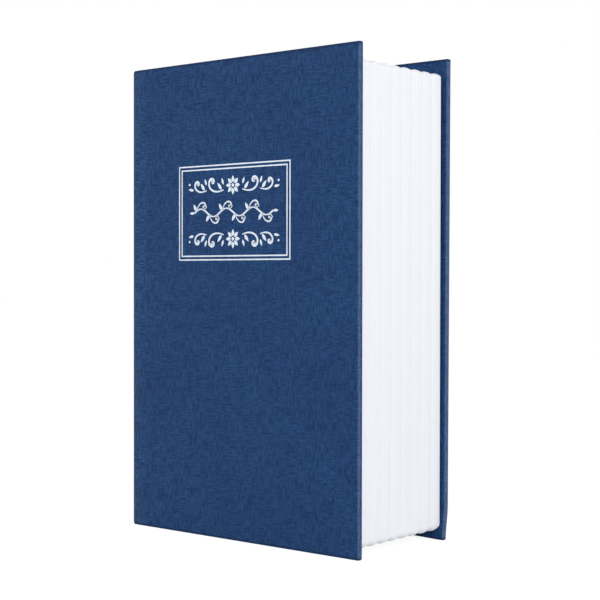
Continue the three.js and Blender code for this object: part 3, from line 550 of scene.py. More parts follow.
def floor_finish():
    tree = new_material("studio_floor")
    matt = tree.add("ShaderNodeBsdfDiffuse", {"Color": rgba(0.86, 0.86, 0.86)})
    white = tree.add("ShaderNodeEmission", {"Color": rgba(1.0, 1.0, 1.0), "Strength": FLOOR_GLOW})
    share = tree.times(seen_directly(tree), FLOOR_GLOW_SHARE)
    both = tree.add("ShaderNodeMixShader", {0: share, 1: matt, 2: white})
    tree.add("ShaderNodeOutputMaterial", {"Surface": both})
    return tree.material


def lay_floor():
    half = 4.0
    below = -0.02 * MM
    corners = [(-half, -half, below), (half, -half, below), (half, half, below), (-half, half, below)]
    mesh = bpy.data.meshes.new("studio_floor")
    mesh.from_pydata(corners, [], [(0, 1, 2, 3)])
    mesh.materials.append(floor_finish())
    floor = in_scene("studio_floor", mesh)


def hang_lamp(name, place, size, power, colour):
    lamp = bpy.data.lights.new(name, "AREA")
    lamp.shape = "SQUARE"
    lamp.size = size
    lamp.energy = power
    lamp.color = colour
    hung = in_scene(name, lamp)
    hung.location = place
    aim = Vector(LAMP_TARGET) - Vector(place)
    hung.rotation_euler = aim.to_track_quat("-Z", "Y").to_euler()


def light_studio():
    light_room()
    for name, lamp in LAMPS.items():
        hang_lamp(name, *lamp)


# Meshes
def new_piece(name, mesh, slot_name):
    piece = in_scene(name, mesh)
    mesh.materials.append(FINISHES[slot_name])
    return piece


def applied(piece):
    """The piece with its modifiers made part of its mesh."""
    graph = bpy.context.evaluated_depsgraph_get()
    mesh = bpy.data.meshes.new_from_object(piece.evaluated_get(graph))
    piece.modifiers.clear()
    old = piece.data
    piece.data = mesh
    bpy.data.meshes.remove(old)
    mesh.name = piece.name
    return piece


def thickened(piece, thickness, offset):
    """A sheet given its thickness, inwards at an offset of -1 and outwards at 1."""
    wall = piece.modifiers.new("wall", "SOLIDIFY")
    wall.thickness = thickness
    wall.offset = offset
    return applied(piece)


def mesh_from(name, shape):
    mesh = bpy.data.meshes.new(name)
    shape.to_mesh(mesh)
    shape.free()
    return mesh


def smooth_below(piece, degrees):
    piece.data.shade_smooth()
    piece.data.set_sharp_from_angle(angle=math.radians(degrees))


def add_patch(shell, uv_layer, points, places):
    """A grid of points, as rows, becomes faces whose UVs are each point's place on the flat sheet."""
    rows = [[shell.verts.new(point) for point in row] for row in points]
    for i in range(len(rows) - 1):
        for j in range(len(rows[0]) - 1):
            around = ((i, j), (i, j + 1), (i + 1, j + 1), (i + 1, j))
            face = shell.faces.new([rows[a][b] for a, b in around])
            for loop, (a, b) in zip(face.loops, around):
                loop[uv_layer].uv = places[a][b]


def sheet_piece(name, patches, outside, slot_name="book_cloth", thickness=CLOTH):
    """Patches joined into one sheet that faces out, then given its thickness inwards."""
    shell = bmesh.new()
    uv_layer = shell.loops.layers.uv.new("cloth")
    for points, places in patches:
        add_patch(shell, uv_layer, points, places)
    bmesh.ops.remove_doubles(shell, verts=shell.verts, dist=2 * WELD)
    bmesh.ops.recalc_face_normals(shell, faces=shell.faces)
    largest = max(shell.faces, key=lambda face: face.calc_area() * abs(face.normal.dot(outside)))
    if largest.normal.dot(outside) < 0:
        bmesh.ops.reverse_faces(shell, faces=shell.faces)
    piece = thickened(new_piece(name, mesh_from(name, shell), slot_name), thickness, -1.0)
    smooth_below(piece, 50)
    return piece


def spaced(start, end, step):
    return np.linspace(start, end, max(2, math.ceil(abs(end - start) / step) + 1)).tolist()


def edge_stations(length, step, round_low, round_high):
    """Places along a side, close together where its edges are rounded."""
    low = spaced(0.0, round_low, round_low / ROUND_STEPS)
    high = spaced(length - round_high, length, round_high / ROUND_STEPS) if round_high else [length]
    return low + spaced(low[-1], high[0], step)[1:-1] + high


# The case: cloth over its two panels, its spine and the joints between them
def capped(point):
    """A point of the case, drawn in where head and tail are rounded beside the spine's outer face."""
    x, y, z = point
    middle = CASE_HEIGHT / 2
    short = max(CAP_ROUND - (x - CASE_LEFT), 0.0)
    drop = CAP_ROUND - math.sqrt(CAP_ROUND**2 - short**2)
    return (x, y, middle + (z - middle) * (1 - drop / middle))


def rounded_panel_point(along, depth, height):
    """A point on a sharp panel, moved onto the same panel with rounded edges."""
    sharp = np.array([along, depth, height])
    high = (PANEL_LENGTH - EDGE_ROUND, PANEL_DEPTH - EDGE_ROUND, CASE_HEIGHT - EDGE_ROUND)
    core = np.clip(sharp, (0.0, EDGE_ROUND, EDGE_ROUND), high)
    away = sharp - core
    distance = np.linalg.norm(away)
    return core + away / distance * EDGE_ROUND if distance > 0 else sharp


def panel_patches(in_case, start, side):
    """The cloth of one panel: face, fore edge, head and tail, and the strips turned in over its inside."""
    length = PANEL_LENGTH
    along = edge_stations(length, CLOTH_STEP, CAP_ROUND - JOINT_ROUND, EDGE_ROUND)
    heights = edge_stations(CASE_HEIGHT, CLOTH_STEP, EDGE_ROUND, EDGE_ROUND)
    depths = edge_stations(PANEL_DEPTH, PANEL_DEPTH, EDGE_ROUND, EDGE_ROUND)
    turned = edge_stations(TURN_IN, CLOTH_STEP, EDGE_ROUND, 0)
    fore_wrap = [(a, 0.0, a) for a in along]
    fore_wrap += [(length, d, length + d) for d in depths[1:]]
    fore_wrap += [(length - t, PANEL_DEPTH, length + PANEL_DEPTH + t) for t in turned[1:]]

    def patch(rows):
        points = [[capped(in_case(*rounded_panel_point(*point))) for *point, _, _ in row] for row in rows]
        places = [[(start + side * u, v) for _, _, _, u, v in row] for row in rows]
        return points, places

    patches = [patch([[(a, d, h, u, h) for a, d, u in fore_wrap] for h in heights])]
    short_along = [a for a in along if a < length - TURN_IN] + [length - TURN_IN]
    for end, inward in ((CASE_HEIGHT, -1), (0.0, 1)):
        edge = [[(a, d, end, a, end - inward * d) for a in along] for d in depths]
        flap = [
            [(a, PANEL_DEPTH, end + inward * t, a, end - inward * (PANEL_DEPTH + t)) for a in short_along]
            for t in turned
        ]
        patches += [patch(edge), patch(flap)]
    return patches


def wrapped_section(depth):
    """Cloth round head and tail: depth, height and place along the cloth for each point."""
    across = edge_stations(depth, FOLD_STEP, FOLD_ROUND, FOLD_ROUND)
    up = spaced(0.0, CASE_HEIGHT, CLOTH_STEP)
    flap = spaced(TURN_IN, 0.0, CLOTH_STEP)
    section = [(depth, t, -depth - t) for t in flap]
    section += [(d, 0.0, -d) for d in reversed(across[:-1])]
    section += [(0.0, h, h) for h in up[1:]]
    section += [(d, CASE_HEIGHT, CASE_HEIGHT + d) for d in across[1:]]
    section += [(depth, CASE_HEIGHT - t, CASE_HEIGHT + depth + t) for t in reversed(flap[:-1])]
    return section


def swept_patch(stations, depth):
    """The wrapped section swept round the spine: each station has a point, its way in and its place."""
    section = wrapped_section(depth)
    points = []
    places = []
    for (x, y), (in_x, in_y), place in stations:
        points.append([capped((x + in_x * d, y + in_y * d, height)) for d, height, _ in section])
        places.append([(place, v) for _, _, v in section])
    return points, places


def eased_share(value):
    """0 to 1, flat at both ends."""
    share = min(max(value, 0.0), 1.0)
    return share * share * (3 - 2 * share)


def bow_cover(piece):
    """Bends a piece of the back cover with it, after more edges are cut where it bends most."""
    knock_left = CASE_RIGHT - KNOCK_LENGTH
    bent = bmesh.new()
    bent.from_mesh(piece.data)
    cuts = [(x, INTO_CASE) for x in spaced(HINGE_LINE, knock_left, BOW_STEP_ALONG)[1:]]
    cuts += [(x, INTO_CASE) for x in spaced(knock_left, CASE_RIGHT, KNOCK_STEP)[1:-1]]
    cuts += [(z, UPWARDS) for z in spaced(0.0, KNOCK_HEIGHT, KNOCK_STEP)[1:]]
    cuts += [(z, UPWARDS) for z in spaced(KNOCK_HEIGHT, CASE_HEIGHT, BOW_STEP_UP)[1:-1]]
    for place, facing in cuts:
        everything = bent.verts[:] + bent.edges[:] + bent.faces[:]
        bmesh.ops.bisect_plane(bent, geom=everything, dist=WELD, plane_co=place * facing, plane_no=facing)
    for vert in bent.verts:
        along = (vert.co.x - HINGE_LINE) / PANEL_LENGTH
        bowed = BOW * (vert.co.z / CASE_HEIGHT - BOW_LEVEL) * max(along, 0.0) ** 2
        near_edge = eased_share((vert.co.x - knock_left) / KNOCK_LENGTH)
        near_foot = eased_share(1 - vert.co.z / KNOCK_HEIGHT)
        vert.co.y += bowed - KNOCK * near_edge * near_foot
    bent.to_mesh(piece.data)
    bent.free()
    return piece


def joint_stations(centre_y, side, start):
    """Stations round a joint, from its cover to the spine."""
    stations = []
    for step in range(JOINT_STEPS + 1):
        angle = math.pi / 2 * step / JOINT_STEPS
        out_x = -math.sin(angle)
        out_y = side * math.cos(angle)
        point = (HINGE_LINE + JOINT_ROUND * out_x, centre_y + JOINT_ROUND * out_y)
        stations.append((point, (-out_x, -out_y), start + side * JOINT_ROUND * angle))
    return stations


# Where a place along a panel or the spine, its depth and its height lie in the case
def on_panel(face, inwards):
    return lambda along, depth, height: (HINGE_LINE + along, face + inwards * depth, height)


def on_spine(end, onwards):
    return lambda along, depth, height: (CASE_LEFT + depth, end + onwards * along, height)


def cloth_case():
    front_patches = panel_patches(on_panel(CASE_FRONT, 1), HINGE_LINE, 1)
    front = sheet_piece("front_cover_cloth", front_patches, -BACKWARDS)
    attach(front, "front_cover")
    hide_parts("front_cloth")

    back_patches = panel_patches(on_panel(CASE_BACK, -1), REAR_FROM, -1)
    back = sheet_piece("back_cover_cloth", back_patches, BACKWARDS)
    bow_cover(back)
    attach(back, "root")
    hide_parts("back_cloth")

    spine_places = spaced(0.0, SPINE_LENGTH, CLOTH_STEP)
    spine_stations = [((CASE_LEFT, SPINE_FRONT + s), (1.0, 0.0), SPINE_FROM - s) for s in spine_places]
    spine = sheet_piece("spine_cover_cloth", [swept_patch(spine_stations, PANEL_DEPTH)], -INTO_CASE)
    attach(spine, "spine")
    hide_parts("spine_cloth")

    front_patch = swept_patch(joint_stations(SPINE_FRONT, -1, HINGE_LINE), JOINT_DEPTH)
    front_joint = sheet_piece("front_joint_strip", [front_patch], -INTO_CASE - BACKWARDS)
    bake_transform(front_joint)
    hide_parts("front_joint_cloth")

    rear_patch = swept_patch(joint_stations(SPINE_REAR, 1, REAR_FROM), JOINT_DEPTH)
    rear_joint = sheet_piece("rear_joint_strip", [rear_patch], BACKWARDS - INTO_CASE)
    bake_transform(rear_joint)
    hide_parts("rear_joint_cloth")


def joint_lining(name, in_case, inside, body):
    """What is turned over the raw edge of a board beside a joint: paper, and at head and tail the cloth."""
    over = PANEL_DEPTH + LINING / 2
    fold = [(LINING_LAP, over), (LINING_PAST, over)]
    fold += [(-LINING_PAST, depth) for depth in (PANEL_DEPTH, PANEL_DEPTH - LINING_FOLD, CLOTH)]
    lengths = {
        "tail": (CLOTH, LINING_MARGIN, "book_cloth"),
        "paper": (LINING_MARGIN, CASE_HEIGHT - LINING_MARGIN, "end_paper"),
        "head": (CASE_HEIGHT - LINING_MARGIN, CASE_HEIGHT - CLOTH, "book_cloth"),
    }
    for place, (low, high, slot_name) in lengths.items():
        heights = spaced(low, high, LINING_STEP)
        points = [[capped(in_case(a, d, h)) for a, d in fold] for h in heights]
        places = [[(d, h) for _, d in fold] for h in heights]
        piece = sheet_piece(f"{name}_{place}", [(points, places)], inside, slot_name, LINING)
        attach(piece, body)


def line_joints():
    joint_lining("front_board_edge", on_panel(CASE_FRONT, 1), BACKWARDS, "front_cover")
    joint_lining("spine_front_edge", on_spine(SPINE_FRONT, 1), INTO_CASE, "spine")
    joint_lining("spine_rear_edge", on_spine(SPINE_REAR, -1), INTO_CASE, "spine")
    joint_lining("back_board_edge", on_panel(CASE_BACK, -1), -BACKWARDS, "root")


# The stamped ornament, drawn flat in x and z in mm, and pressed on the front cover
class Stamp:
    def __init__(self):
        self.shapes = bmesh.new()
        self.chance = random.Random(7)

    def corner(self, x, z):
        return self.shapes.verts.new((x * MM, CASE_FRONT, z * MM))

    def waver(self):
        return self.chance.uniform(-WAVER, WAVER)

    def shape(self, points):
        """A filled outline, with the slight unevenness of a stamped edge."""
        self.shapes.faces.new([self.corner(x + self.waver(), z + self.waver()) for x, z in points])

    def stroke(self, points, widths):
        """A ribbon along a line of points, with a width at each."""
        rows = []
        for i, (x, z) in enumerate(points):
            before = points[max(i - 1, 0)]
            after = points[min(i + 1, len(points) - 1)]
            run = Vector((after[0] - before[0], after[1] - before[1])).normalized() * widths[i] / 2
            rows.append((self.corner(x - run.y, z + run.x), self.corner(x + run.y, z - run.x)))
        for first, second in zip(rows, rows[1:]):
            self.shapes.faces.new((first[0], first[1], second[1], second[0]))

    def frame(self, left, right, bottom, top, line):
        """A ruled rectangle whose sides are short lengths, so that the line can waver."""
        over = line / 2
        sides = (
            ((left - over, top), (right + over, top)),
            ((right, top - over), (right, bottom + over)),
            ((right + over, bottom), (left - over, bottom)),
            ((left, bottom + over), (left, top - over)),
        )
        for start, end in sides:
            count = round(math.dist(start, end) / TITLE_DASH)
            points = [tuple(Vector(start).lerp(Vector(end), i / count)) for i in range(count + 1)]
            self.stroke(points, [line * self.chance.uniform(*LINE_SHARES) for _ in points])

    def leaf(self, x, z, angle, length, width):
        """A pointed leaf that starts at x, z."""
        steps = 8
        along = Vector((math.cos(angle), math.sin(angle)))
        right = []
        left = []
        for i in range(1, steps):
            share = i / steps
            swell = math.sin(math.pi * share**0.8) * width / 2
            middle = Vector((x, z)) + along * length * share
            right.append((middle.x + along.y * swell, middle.y - along.x * swell))
            left.append((middle.x - along.y * swell, middle.y + along.x * swell))
        tip = (x + along.x * length, z + along.y * length)
        self.shape([(x, z), *right, tip, *reversed(left)])

    def disc(self, x, z, radius):
        angles = [step * math.pi / 6 for step in range(12)]
        self.shape([(x + radius * math.cos(angle), z + radius * math.sin(angle)) for angle in angles])

    def scroll(self, x, z, angle, length, turn, thick):
        """A spiral that starts at x, z along an angle and winds in to its own eye, which has a bead."""
        steps = 34
        slowing = 0.72
        stride = length / (steps * (1 - slowing / 2))
        points = [(x, z)]
        heading = angle
        for i in range(steps):
            share = i / steps
            heading += turn * (0.05 + 0.48 * share**1.3)
            reach = stride * (1 - slowing * share)
            last_x, last_z = points[-1]
            points.append((last_x + reach * math.cos(heading), last_z + reach * math.sin(heading)))
        widths = [thick * (0.4 + 0.7 * math.sin(math.pi * (i + 2) / (steps + 4))) for i in range(steps + 1)]
        self.stroke(points, widths)
        self.disc(*points[-1], thick * 0.75)


def rosette(stamp, x, z, radius):
    start = radius * 0.28
    for petal in range(8):
        angle = math.pi / 4 * petal
        foot = (x + start * math.cos(angle), z + start * math.sin(angle))
        stamp.leaf(*foot, angle, radius * 0.72, radius * 0.4)
    stamp.disc(x, z, radius * 0.19)


def scroll_row(stamp, x, z, up):
    """A rosette between pairs of scrolls that end in a leaf and a bead."""
    rosette(stamp, x, z, ROSETTE_RADIUS)
    for side in (-1, 1):
        forward = 0.0 if side > 0 else math.pi
        turn = side * up

        def leaf_beside(foot, along, rise, turning, length, width):
            stamp.leaf(foot + side * along, z + up * rise, forward + turn * turning, length, width)

        for start, length, line in SCROLLS:
            foot = x + side * start
            stamp.scroll(foot, z - up * SCROLL_DROP, forward - turn * SCROLL_TURN, length, turn, line)
            for leaf in SCROLL_LEAVES:
                leaf_beside(foot, *leaf)
        leaf_beside(x, *END_LEAF)
        along, rise, radius = END_BEAD
        stamp.disc(x + side * along, z + up * rise, radius)


def vine_row(stamp, x, z):
    """A running vine: a waving stem with a curled tendril and leaves in each bend."""
    steps = VINE_WAVES * 18
    shares = [i / steps for i in range(steps + 1)]
    turns = 2 * math.pi * VINE_WAVES
    left = x - VINE_REACH
    points = [(left + 2 * VINE_REACH * share, z + VINE_HEIGHT * math.sin(turns * share)) for share in shares]
    stamp.stroke(points, [VINE_LINE * (0.6 + 0.4 * abs(math.cos(turns * share))) for share in shares])
    for bend in range(2 * VINE_WAVES):
        side = 1 if bend % 2 == 0 else -1
        middle = left + VINE_REACH / VINE_WAVES * (bend + 0.5)
        along, rise, turning, length, line = VINE_SCROLL
        stamp.scroll(middle + along, z + side * rise, side * turning, length, -side, line)
        for along, rise, turning, length, width in VINE_LEAVES:
            stamp.leaf(middle + along, z + side * rise, side * turning, length, width)
    for side, forward in ((-1, math.pi), (1, 0.0)):
        stamp.leaf(x + side * VINE_REACH, z, forward, *VINE_TIP)


def title_stamp():
    stamp = Stamp()
    inner = TITLE_INNER
    stamp.frame(TITLE_LEFT, TITLE_RIGHT, TITLE_BOTTOM, TITLE_TOP, TITLE_LINE)
    stamp.frame(TITLE_LEFT + inner, TITLE_RIGHT - inner, TITLE_BOTTOM + inner, TITLE_TOP - inner, TITLE_LINE)
    x = (TITLE_LEFT + TITLE_RIGHT) / 2
    z = (TITLE_BOTTOM + TITLE_TOP) / 2
    scroll_row(stamp, x, z + TITLE_ROW_PITCH, 1)
    vine_row(stamp, x, z)
    scroll_row(stamp, x, z - TITLE_ROW_PITCH, -1)
    for face in stamp.shapes.faces:
        face.normal_update()
        if face.normal.y > 0:
            face.normal_flip()
    piece = in_scene("title_stamp", mesh_from("title_stamp", stamp.shapes))
    piece.data.materials.append(silver_foil())
    thickened(piece, FOIL, 1.0)
    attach(piece, "front_cover")


# The page block: a plain block in mesh code, its leaves pressed into it by Geometry Nodes
def corner_points(x, z, radius, start, steps):
    """A quarter round about x, z, from an angle of whole quarter turns."""
    angles = [math.pi / 2 * (start + step / steps) for step in range(steps + 1)]
    return [(x + radius * math.cos(angle), z + radius * math.sin(angle)) for angle in angles]


def block_outline(left, right, bottom, top):
    """Tail, fore edge and head, with rounded corners between them, from the spine side round."""
    tail = BLOCK_TAIL_ROUND
    head = BLOCK_HEAD_ROUND
    points = [(x, bottom) for x in spaced(left, right - tail, BLOCK_STEP)[:-1]]
    points += corner_points(right - tail, bottom + tail, tail, -1, BLOCK_CORNER_STEPS)
    points += [(right, z) for z in spaced(bottom + tail, top - head, BLOCK_STEP)[1:-1]]
    points += corner_points(right - head, top - head, head, 0, BLOCK_CORNER_STEPS)
    points += [(x, top) for x in spaced(right - head, left, BLOCK_STEP)[1:]]
    return points


def extruded(name, outline, depths):
    """A closed mesh with the same outline, of x and z, at each depth along y."""
    around = len(outline)
    verts = [(x, y, z) for y in depths for x, z in outline]
    faces = []
    for ring in range(len(depths) - 1):
        for step in range(around):
            here = ring * around + step
            after = ring * around + (step + 1) % around
            faces.append((here, here + around, after + around, after))
    faces.append(tuple(range(around)))
    faces.append(tuple(reversed(range(len(verts) - around, len(verts)))))
    mesh = bpy.data.meshes.new(name)
    mesh.from_pydata(verts, [], faces)
    return mesh


def plain_block():
    low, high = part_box("page_block")
    lines = np.linspace(low.y, high.y, SIGNATURES * LEAVES_PER_SIGNATURE * LINES_PER_LEAF + 1)
    return extruded("page_block_moulding", block_outline(low.x, high.x, low.z, high.z), lines)


def geometry_tree(name, sizes):
    """A new Geometry Nodes tree with a geometry input and named sizes."""
    group = bpy.data.node_groups.new(name, "GeometryNodeTree")
    group.interface.new_socket("Geometry", in_out="INPUT", socket_type="NodeSocketGeometry")
    group.interface.new_socket("Geometry", in_out="OUTPUT", socket_type="NodeSocketGeometry")
    for size in sizes:
        group.interface.new_socket(size, in_out="INPUT", socket_type="NodeSocketFloat")
    tree = Tree(group)
    given = tree.add("NodeGroupInput").node.outputs
    return group, tree, given


def end_tree(tree, geometry, finish_name):
    realized = tree.add("GeometryNodeRealizeInstances", {"Geometry": geometry})
    finished = tree.add("GeometryNodeSetMaterial", {"Geometry": realized, "Material": FINISHES[finish_name]})
    tree.add("NodeGroupOutput", {"Geometry": finished})


def grow(piece, group, values):
    """Runs a tree on a piece with its sizes set, and keeps the result as a plain mesh."""
    modifier = piece.modifiers.new(group.name, "NODES")
    modifier.node_group = group
    for item in group.interface.items_tree:
        if item.name in values:
            modifier[item.identifier] = values[item.name]
    return applied(piece)


def drawn_in(tree, distance, radius):
    """How far a rounded edge draws a face in at a distance from the flat side that the edge runs along."""
    short = tree.larger(tree.minus(radius, distance), 0.0)
    square = tree.minus(tree.times(radius, radius), tree.times(short, short))
    return tree.minus(radius, tree.math("SQRT", tree.larger(square, 0.0)))


def between(tree, share, first, second):
    return tree.math("MULTIPLY_ADD", share, tree.minus(second, first), first)


def leaf_tree(sizes):
    """Presses leaves and signatures into a block: the faces sink along lines of equal y."""
    group, tree, given = geometry_tree("pressed_leaves", sizes)
    place = tree.add("GeometryNodeInputPosition")
    y = tree.part(place, "Y")
    normal = tree.add("GeometryNodeInputNormal")
    flat = tree.stretched(normal, (1.0, 0.0, 1.0))
    outward = tree.add("ShaderNodeVectorMath", {0: flat}, operation="NORMALIZE")
    fore = tree.larger(tree.part(outward, "X"), 0.0)
    fore = tree.times(fore, fore)
    depth_share = tree.ramp(y, given["Front"], given["Back"], kind="LINEAR")
    along = tree.noise(place, (16.0, 900.0, 16.0), 1.0)
    wander = tree.times(tree.minus(along, 0.5), 0.5)
    leaves_in = tree.times(depth_share, given["Leaves"])
    leaf = tree.plus(leaves_in, wander)
    in_signature = tree.math("FRACT", tree.math("DIVIDE", leaves_in, given["Leaves per signature"]))
    arch = tree.minus(1.0, tree.math("SINE", tree.times(in_signature, math.pi)))
    signature = tree.times(arch, between(tree, fore, given["Signature"], given["Fore signature"]))
    from_middle = tree.math("ABSOLUTE", tree.minus(tree.math("FRACT", leaf), 0.5))
    notch = tree.math("POWER", tree.times(from_middle, 2.0), 3.0)
    drawn = {"Min": 0.25, "Max": 1.0, "ID": tree.math("FLOOR", leaf), "Seed": 4}
    uneven = tree.add("FunctionNodeRandomValue", drawn, out=1, data_type="FLOAT")
    faded = tree.ramp(tree.noise(place, (22.0, 260.0, 22.0)), 0.35, 0.62, 0.25, 1.0)
    groove = tree.times(tree.times(notch, given["Groove"]), tree.times(uneven, faded))
    to_front = tree.minus(y, given["Front"])
    to_back = tree.minus(given["Back"], y)
    rear = drawn_in(tree, to_back, between(tree, fore, given["Rear round"], given["Rear fore round"]))
    front = drawn_in(tree, to_front, given["Front round"])
    edges = tree.larger(rear, front)
    draft = tree.times(tree.minus(1.0, fore), tree.times(depth_share, given["Draft"]))
    sunk = tree.plus(tree.plus(signature, groove), tree.plus(edges, draft))
    inward = {0: outward, "Scale": tree.times(sunk, -1.0)}
    offset = tree.add("ShaderNodeVectorMath", inward, operation="SCALE")
    pressed = tree.add("GeometryNodeSetPosition", {"Geometry": given["Geometry"], "Offset": offset})
    end_tree(tree, pressed, "white_plastic")
    return group


def prism(name, left, right, bottom, top, near, far, radius):
    """A block along y with its four corners rounded, as a cutter."""
    left += radius
    right -= radius
    bottom += radius
    top -= radius
    outline = []
    for corner, (x, z) in enumerate(((right, top), (left, top), (left, bottom), (right, bottom))):
        outline += corner_points(x, z, radius, corner, CUTTER_CORNER_STEPS)
    return in_scene(name, extruded(name, outline, (near, far)))


def cut(piece, cutter):
    modifier = piece.modifiers.new("cut", "BOOLEAN")
    modifier.operation = "DIFFERENCE"
    modifier.solver = "EXACT"
    modifier.object = cutter
    applied(piece)
    bpy.data.objects.remove(cutter)


def page_block():
    low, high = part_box("page_block")
    piece = new_piece("page_block_moulding", plain_block(), "white_plastic")
    sizes = {
        "Front": low.y,
        "Back": high.y,
        "Leaves": float(SIGNATURES * LEAVES_PER_SIGNATURE),
        "Leaves per signature": float(LEAVES_PER_SIGNATURE),
        "Signature": SIGNATURE_DEPTH,
        "Fore signature": FORE_SIGNATURE_DEPTH,
        "Groove": LEAF_GROOVE,
        "Rear round": BLOCK_REAR_ROUND,
        "Rear fore round": BLOCK_REAR_FORE_ROUND,
        "Front round": BLOCK_FRONT_ROUND,
        "Draft": BLOCK_DRAFT,
    }
    grow(piece, leaf_tree(sizes), sizes)
    box_low, box_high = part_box("steel_box")
    cavity = (box_low.x - BOX_PLAY, box_high.x + BOX_PLAY, box_low.z - BOX_PLAY, box_high.z + BOX_PLAY)
    cut(piece, prism("cavity", *cavity, box_low.y - BOX_SEAT, high.y + OVERRUN, BOX_CORNER))
    lid_low, lid_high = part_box("lid")
    mouth = (low.x + MOUTH_SPINE_WALL, lid_high.x + LID_PLAY, lid_low.z - LID_PLAY, lid_high.z + LID_PLAY)
    cut(piece, prism("mouth", *mouth, low.y - OVERRUN, box_low.y + OVERRUN, MOUTH_CORNER))
    smooth_below(piece, 40)
    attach(piece, "root")
    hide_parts("page_block")


# Metal, board and paper pieces
def eased(node, edge):
    """A copy of a CAD node with joined triangles and eased edges, which stands for the node."""
    source = frame["nodes"][node]
    name = "eased_" + node
    merged = bmesh.new()
    merged.from_mesh(source.data)
    bmesh.ops.remove_doubles(merged, verts=merged.verts, dist=WELD)
    bmesh.ops.dissolve_limit(merged, angle_limit=math.radians(1), verts=merged.verts, edges=merged.edges)
    piece = new_piece(name, mesh_from(name, merged), SLOTS[node])
    bevel = piece.modifiers.new("edge", "BEVEL")
    bevel.width = edge
    bevel.segments = 2
    bevel.limit_method = "ANGLE"
    bevel.angle_limit = math.radians(EASED_ANGLE)
    applied(piece)
    smooth_below(piece, 50)
    flats = piece.modifiers.new("flats", "WEIGHTED_NORMAL")
    flats.keep_sharp = True
    applied(piece)
    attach(piece, source["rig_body"])
    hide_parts(node)
    return piece


def turned(name, profile, slot_name):
    """A piece turned about y: the profile has radius and depth, from front middle to back middle."""
    around = 28
    shape = bmesh.new()
    rings = []
    for radius, depth in profile:
        count = around if radius > 0 else 1
        angles = [2 * math.pi * step / count for step in range(count)]
        rings.append([shape.verts.new((radius * math.cos(a), depth, radius * math.sin(a))) for a in angles])
    for first, second in zip(rings, rings[1:]):
        for step in range(around):
            after = (step + 1) % around
            corners = [first[step % len(first)], first[after % len(first)]]
            corners += [second[after % len(second)], second[step % len(second)]]
            shape.faces.new(list(dict.fromkeys(corners)))
    bmesh.ops.recalc_face_normals(shape, faces=shape.faces)
    return new_piece(name, mesh_from(name, shape), slot_name)


def dome(radius, height, depth, rising):
    """Profile points of a domed head, from its middle to its edge, or back."""
    steps = 6
    angles = [math.pi / 2 * step / steps for step in range(steps + 1)]
    points = [(radius * math.sin(a), depth + height * (1 - math.cos(a)) * rising) for a in angles]
    return points if rising > 0 else points[::-1]


def repeat_tree(finish_name):
    """Repeats a piece in columns and rows, from its own place."""
    sizes = ["Columns", "Rows", "Column step", "Row step"]
    group, tree, given = geometry_tree("repeated_" + finish_name, sizes)
    copies = given["Geometry"]
    for count, step, axis in (("Rows", "Row step", "Z"), ("Columns", "Column step", "X")):
        offset = tree.add("ShaderNodeCombineXYZ", {axis: given[step]})
        points = tree.add("GeometryNodeMeshLine", {"Count": given[count], "Offset": offset})
        copies = tree.add("GeometryNodeInstanceOnPoints", {"Points": points, "Instance": copies})
    end_tree(tree, copies, finish_name)
    return group


def repeated(piece, tree, nodes, columns, rows):
    """The piece, made at the origin, stands for nodes that lie in columns and rows."""
    middles = [(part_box(node)[0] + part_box(node)[1]) / 2 for node in nodes]
    along = [middle.x for middle in middles]
    up = [middle.z for middle in middles]
    piece.data.transform(Matrix.Translation((min(along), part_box(nodes[0])[0].y, min(up))))
    steps = {"Columns": float(columns), "Rows": float(rows)}
    steps["Column step"] = (max(along) - min(along)) / max(columns - 1, 1)
    steps["Row step"] = (max(up) - min(up)) / max(rows - 1, 1)
    grow(piece, tree, steps)
    smooth_below(piece, 40)
    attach(piece, frame["nodes"][nodes[0]]["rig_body"])
    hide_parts(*nodes)


def length_and_radius(node):
    low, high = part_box(node)
    return high.y - low.y, (high.x - low.x) / 2


def rivet(name, node):
    length, radius = length_and_radius(node)
    profile = dome(radius, RIVET_HEAD, 0.0, 1)
    profile += [(RIVET_SHANK, RIVET_HEAD), (RIVET_SHANK, length - RIVET_TAIL)]
    profile += dome(radius * 0.82, RIVET_TAIL, length, -1)
    return turned(name, profile, "zinc_steel")


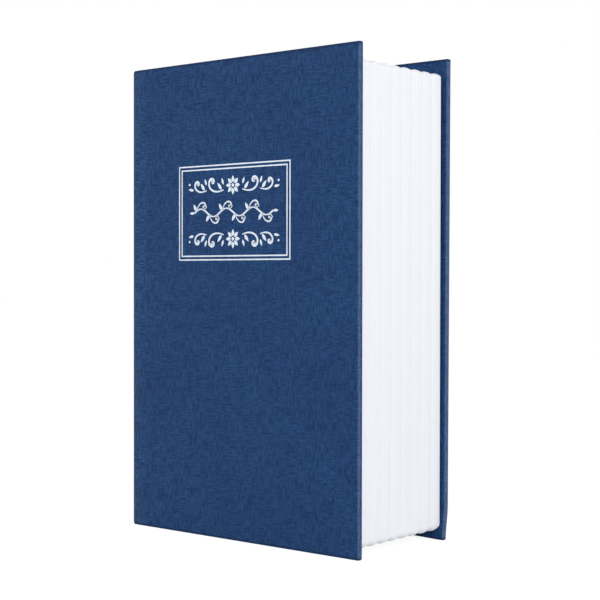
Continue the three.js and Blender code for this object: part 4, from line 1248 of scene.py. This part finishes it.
def screw(name, node):
    """A pan head screw with a cross recess, its head towards the back."""
    length, radius = length_and_radius(node)
    rim = length - SCREW_HEAD
    flank = SCREW_HEAD * 0.45
    profile = [(0.0, 0.0), (SCREW_SHANK * 0.75, 0.0), (SCREW_SHANK, SCREW_TIP), (SCREW_SHANK, rim)]
    profile += [(radius, rim), (radius, rim + flank)]
    profile += dome(radius * 0.93, flank, length, -1)
    piece = turned(name, profile, "zinc_steel")
    depths = (length - SCREW_RECESS, length + SCREW_RECESS)
    half_long = SCREW_RECESS_LENGTH / 2
    half_wide = SCREW_RECESS_WIDTH / 2
    for across, up in ((half_long, half_wide), (half_wide, half_long)):
        cut(piece, prism("recess", -across, across, -up, up, *depths, SCREW_RECESS_CORNER))
    return piece


def fasteners():
    tree = repeat_tree("zinc_steel")
    sets = (
        ("box_hinge_rivets", rivet, "box_rivet", 1, 3),
        ("lid_hinge_rivets", rivet, "lid_rivet", 1, 3),
        ("box_screws", screw, "box_screw", 2, 2),
    )
    for name, make, stem, columns, rows in sets:
        nodes = [f"{stem}_{count + 1}" for count in range(columns * rows)]
        repeated(make(name, nodes[0]), tree, nodes, columns, rows)


def metalwork():
    """The metal pieces, and the papers that stay flat."""
    for node, edge in EASED_EDGES.items():
        eased(node, edge * MM)


def cover_boards():
    """The boards keep inside their rounded cloth, and the back one bows with its cloth and paper."""
    boards = {node: eased(node, BOARD_EDGE) for node in ("front_board", "spine_board", "back_board")}
    for board in boards.values():
        for vert in board.data.vertices:
            vert.co = capped(vert.co)
    bow_cover(boards["back_board"])
    bow_cover(eased("back_endpaper", PAPER_EDGE))


def finish_frame_nodes():
    """Every CAD node, shown or not, takes the finish of its slot."""
    for name, node in frame["nodes"].items():
        node.data.materials.clear()
        node.data.materials.append(FINISHES[SLOTS[name]])


bpy.context.scene.view_settings.view_transform = "Standard"
place_camera()
light_studio()
lay_floor()
finish_frame_nodes()
cloth_case()
line_joints()
title_stamp()
page_block()
metalwork()
fasteners()
cover_boards()
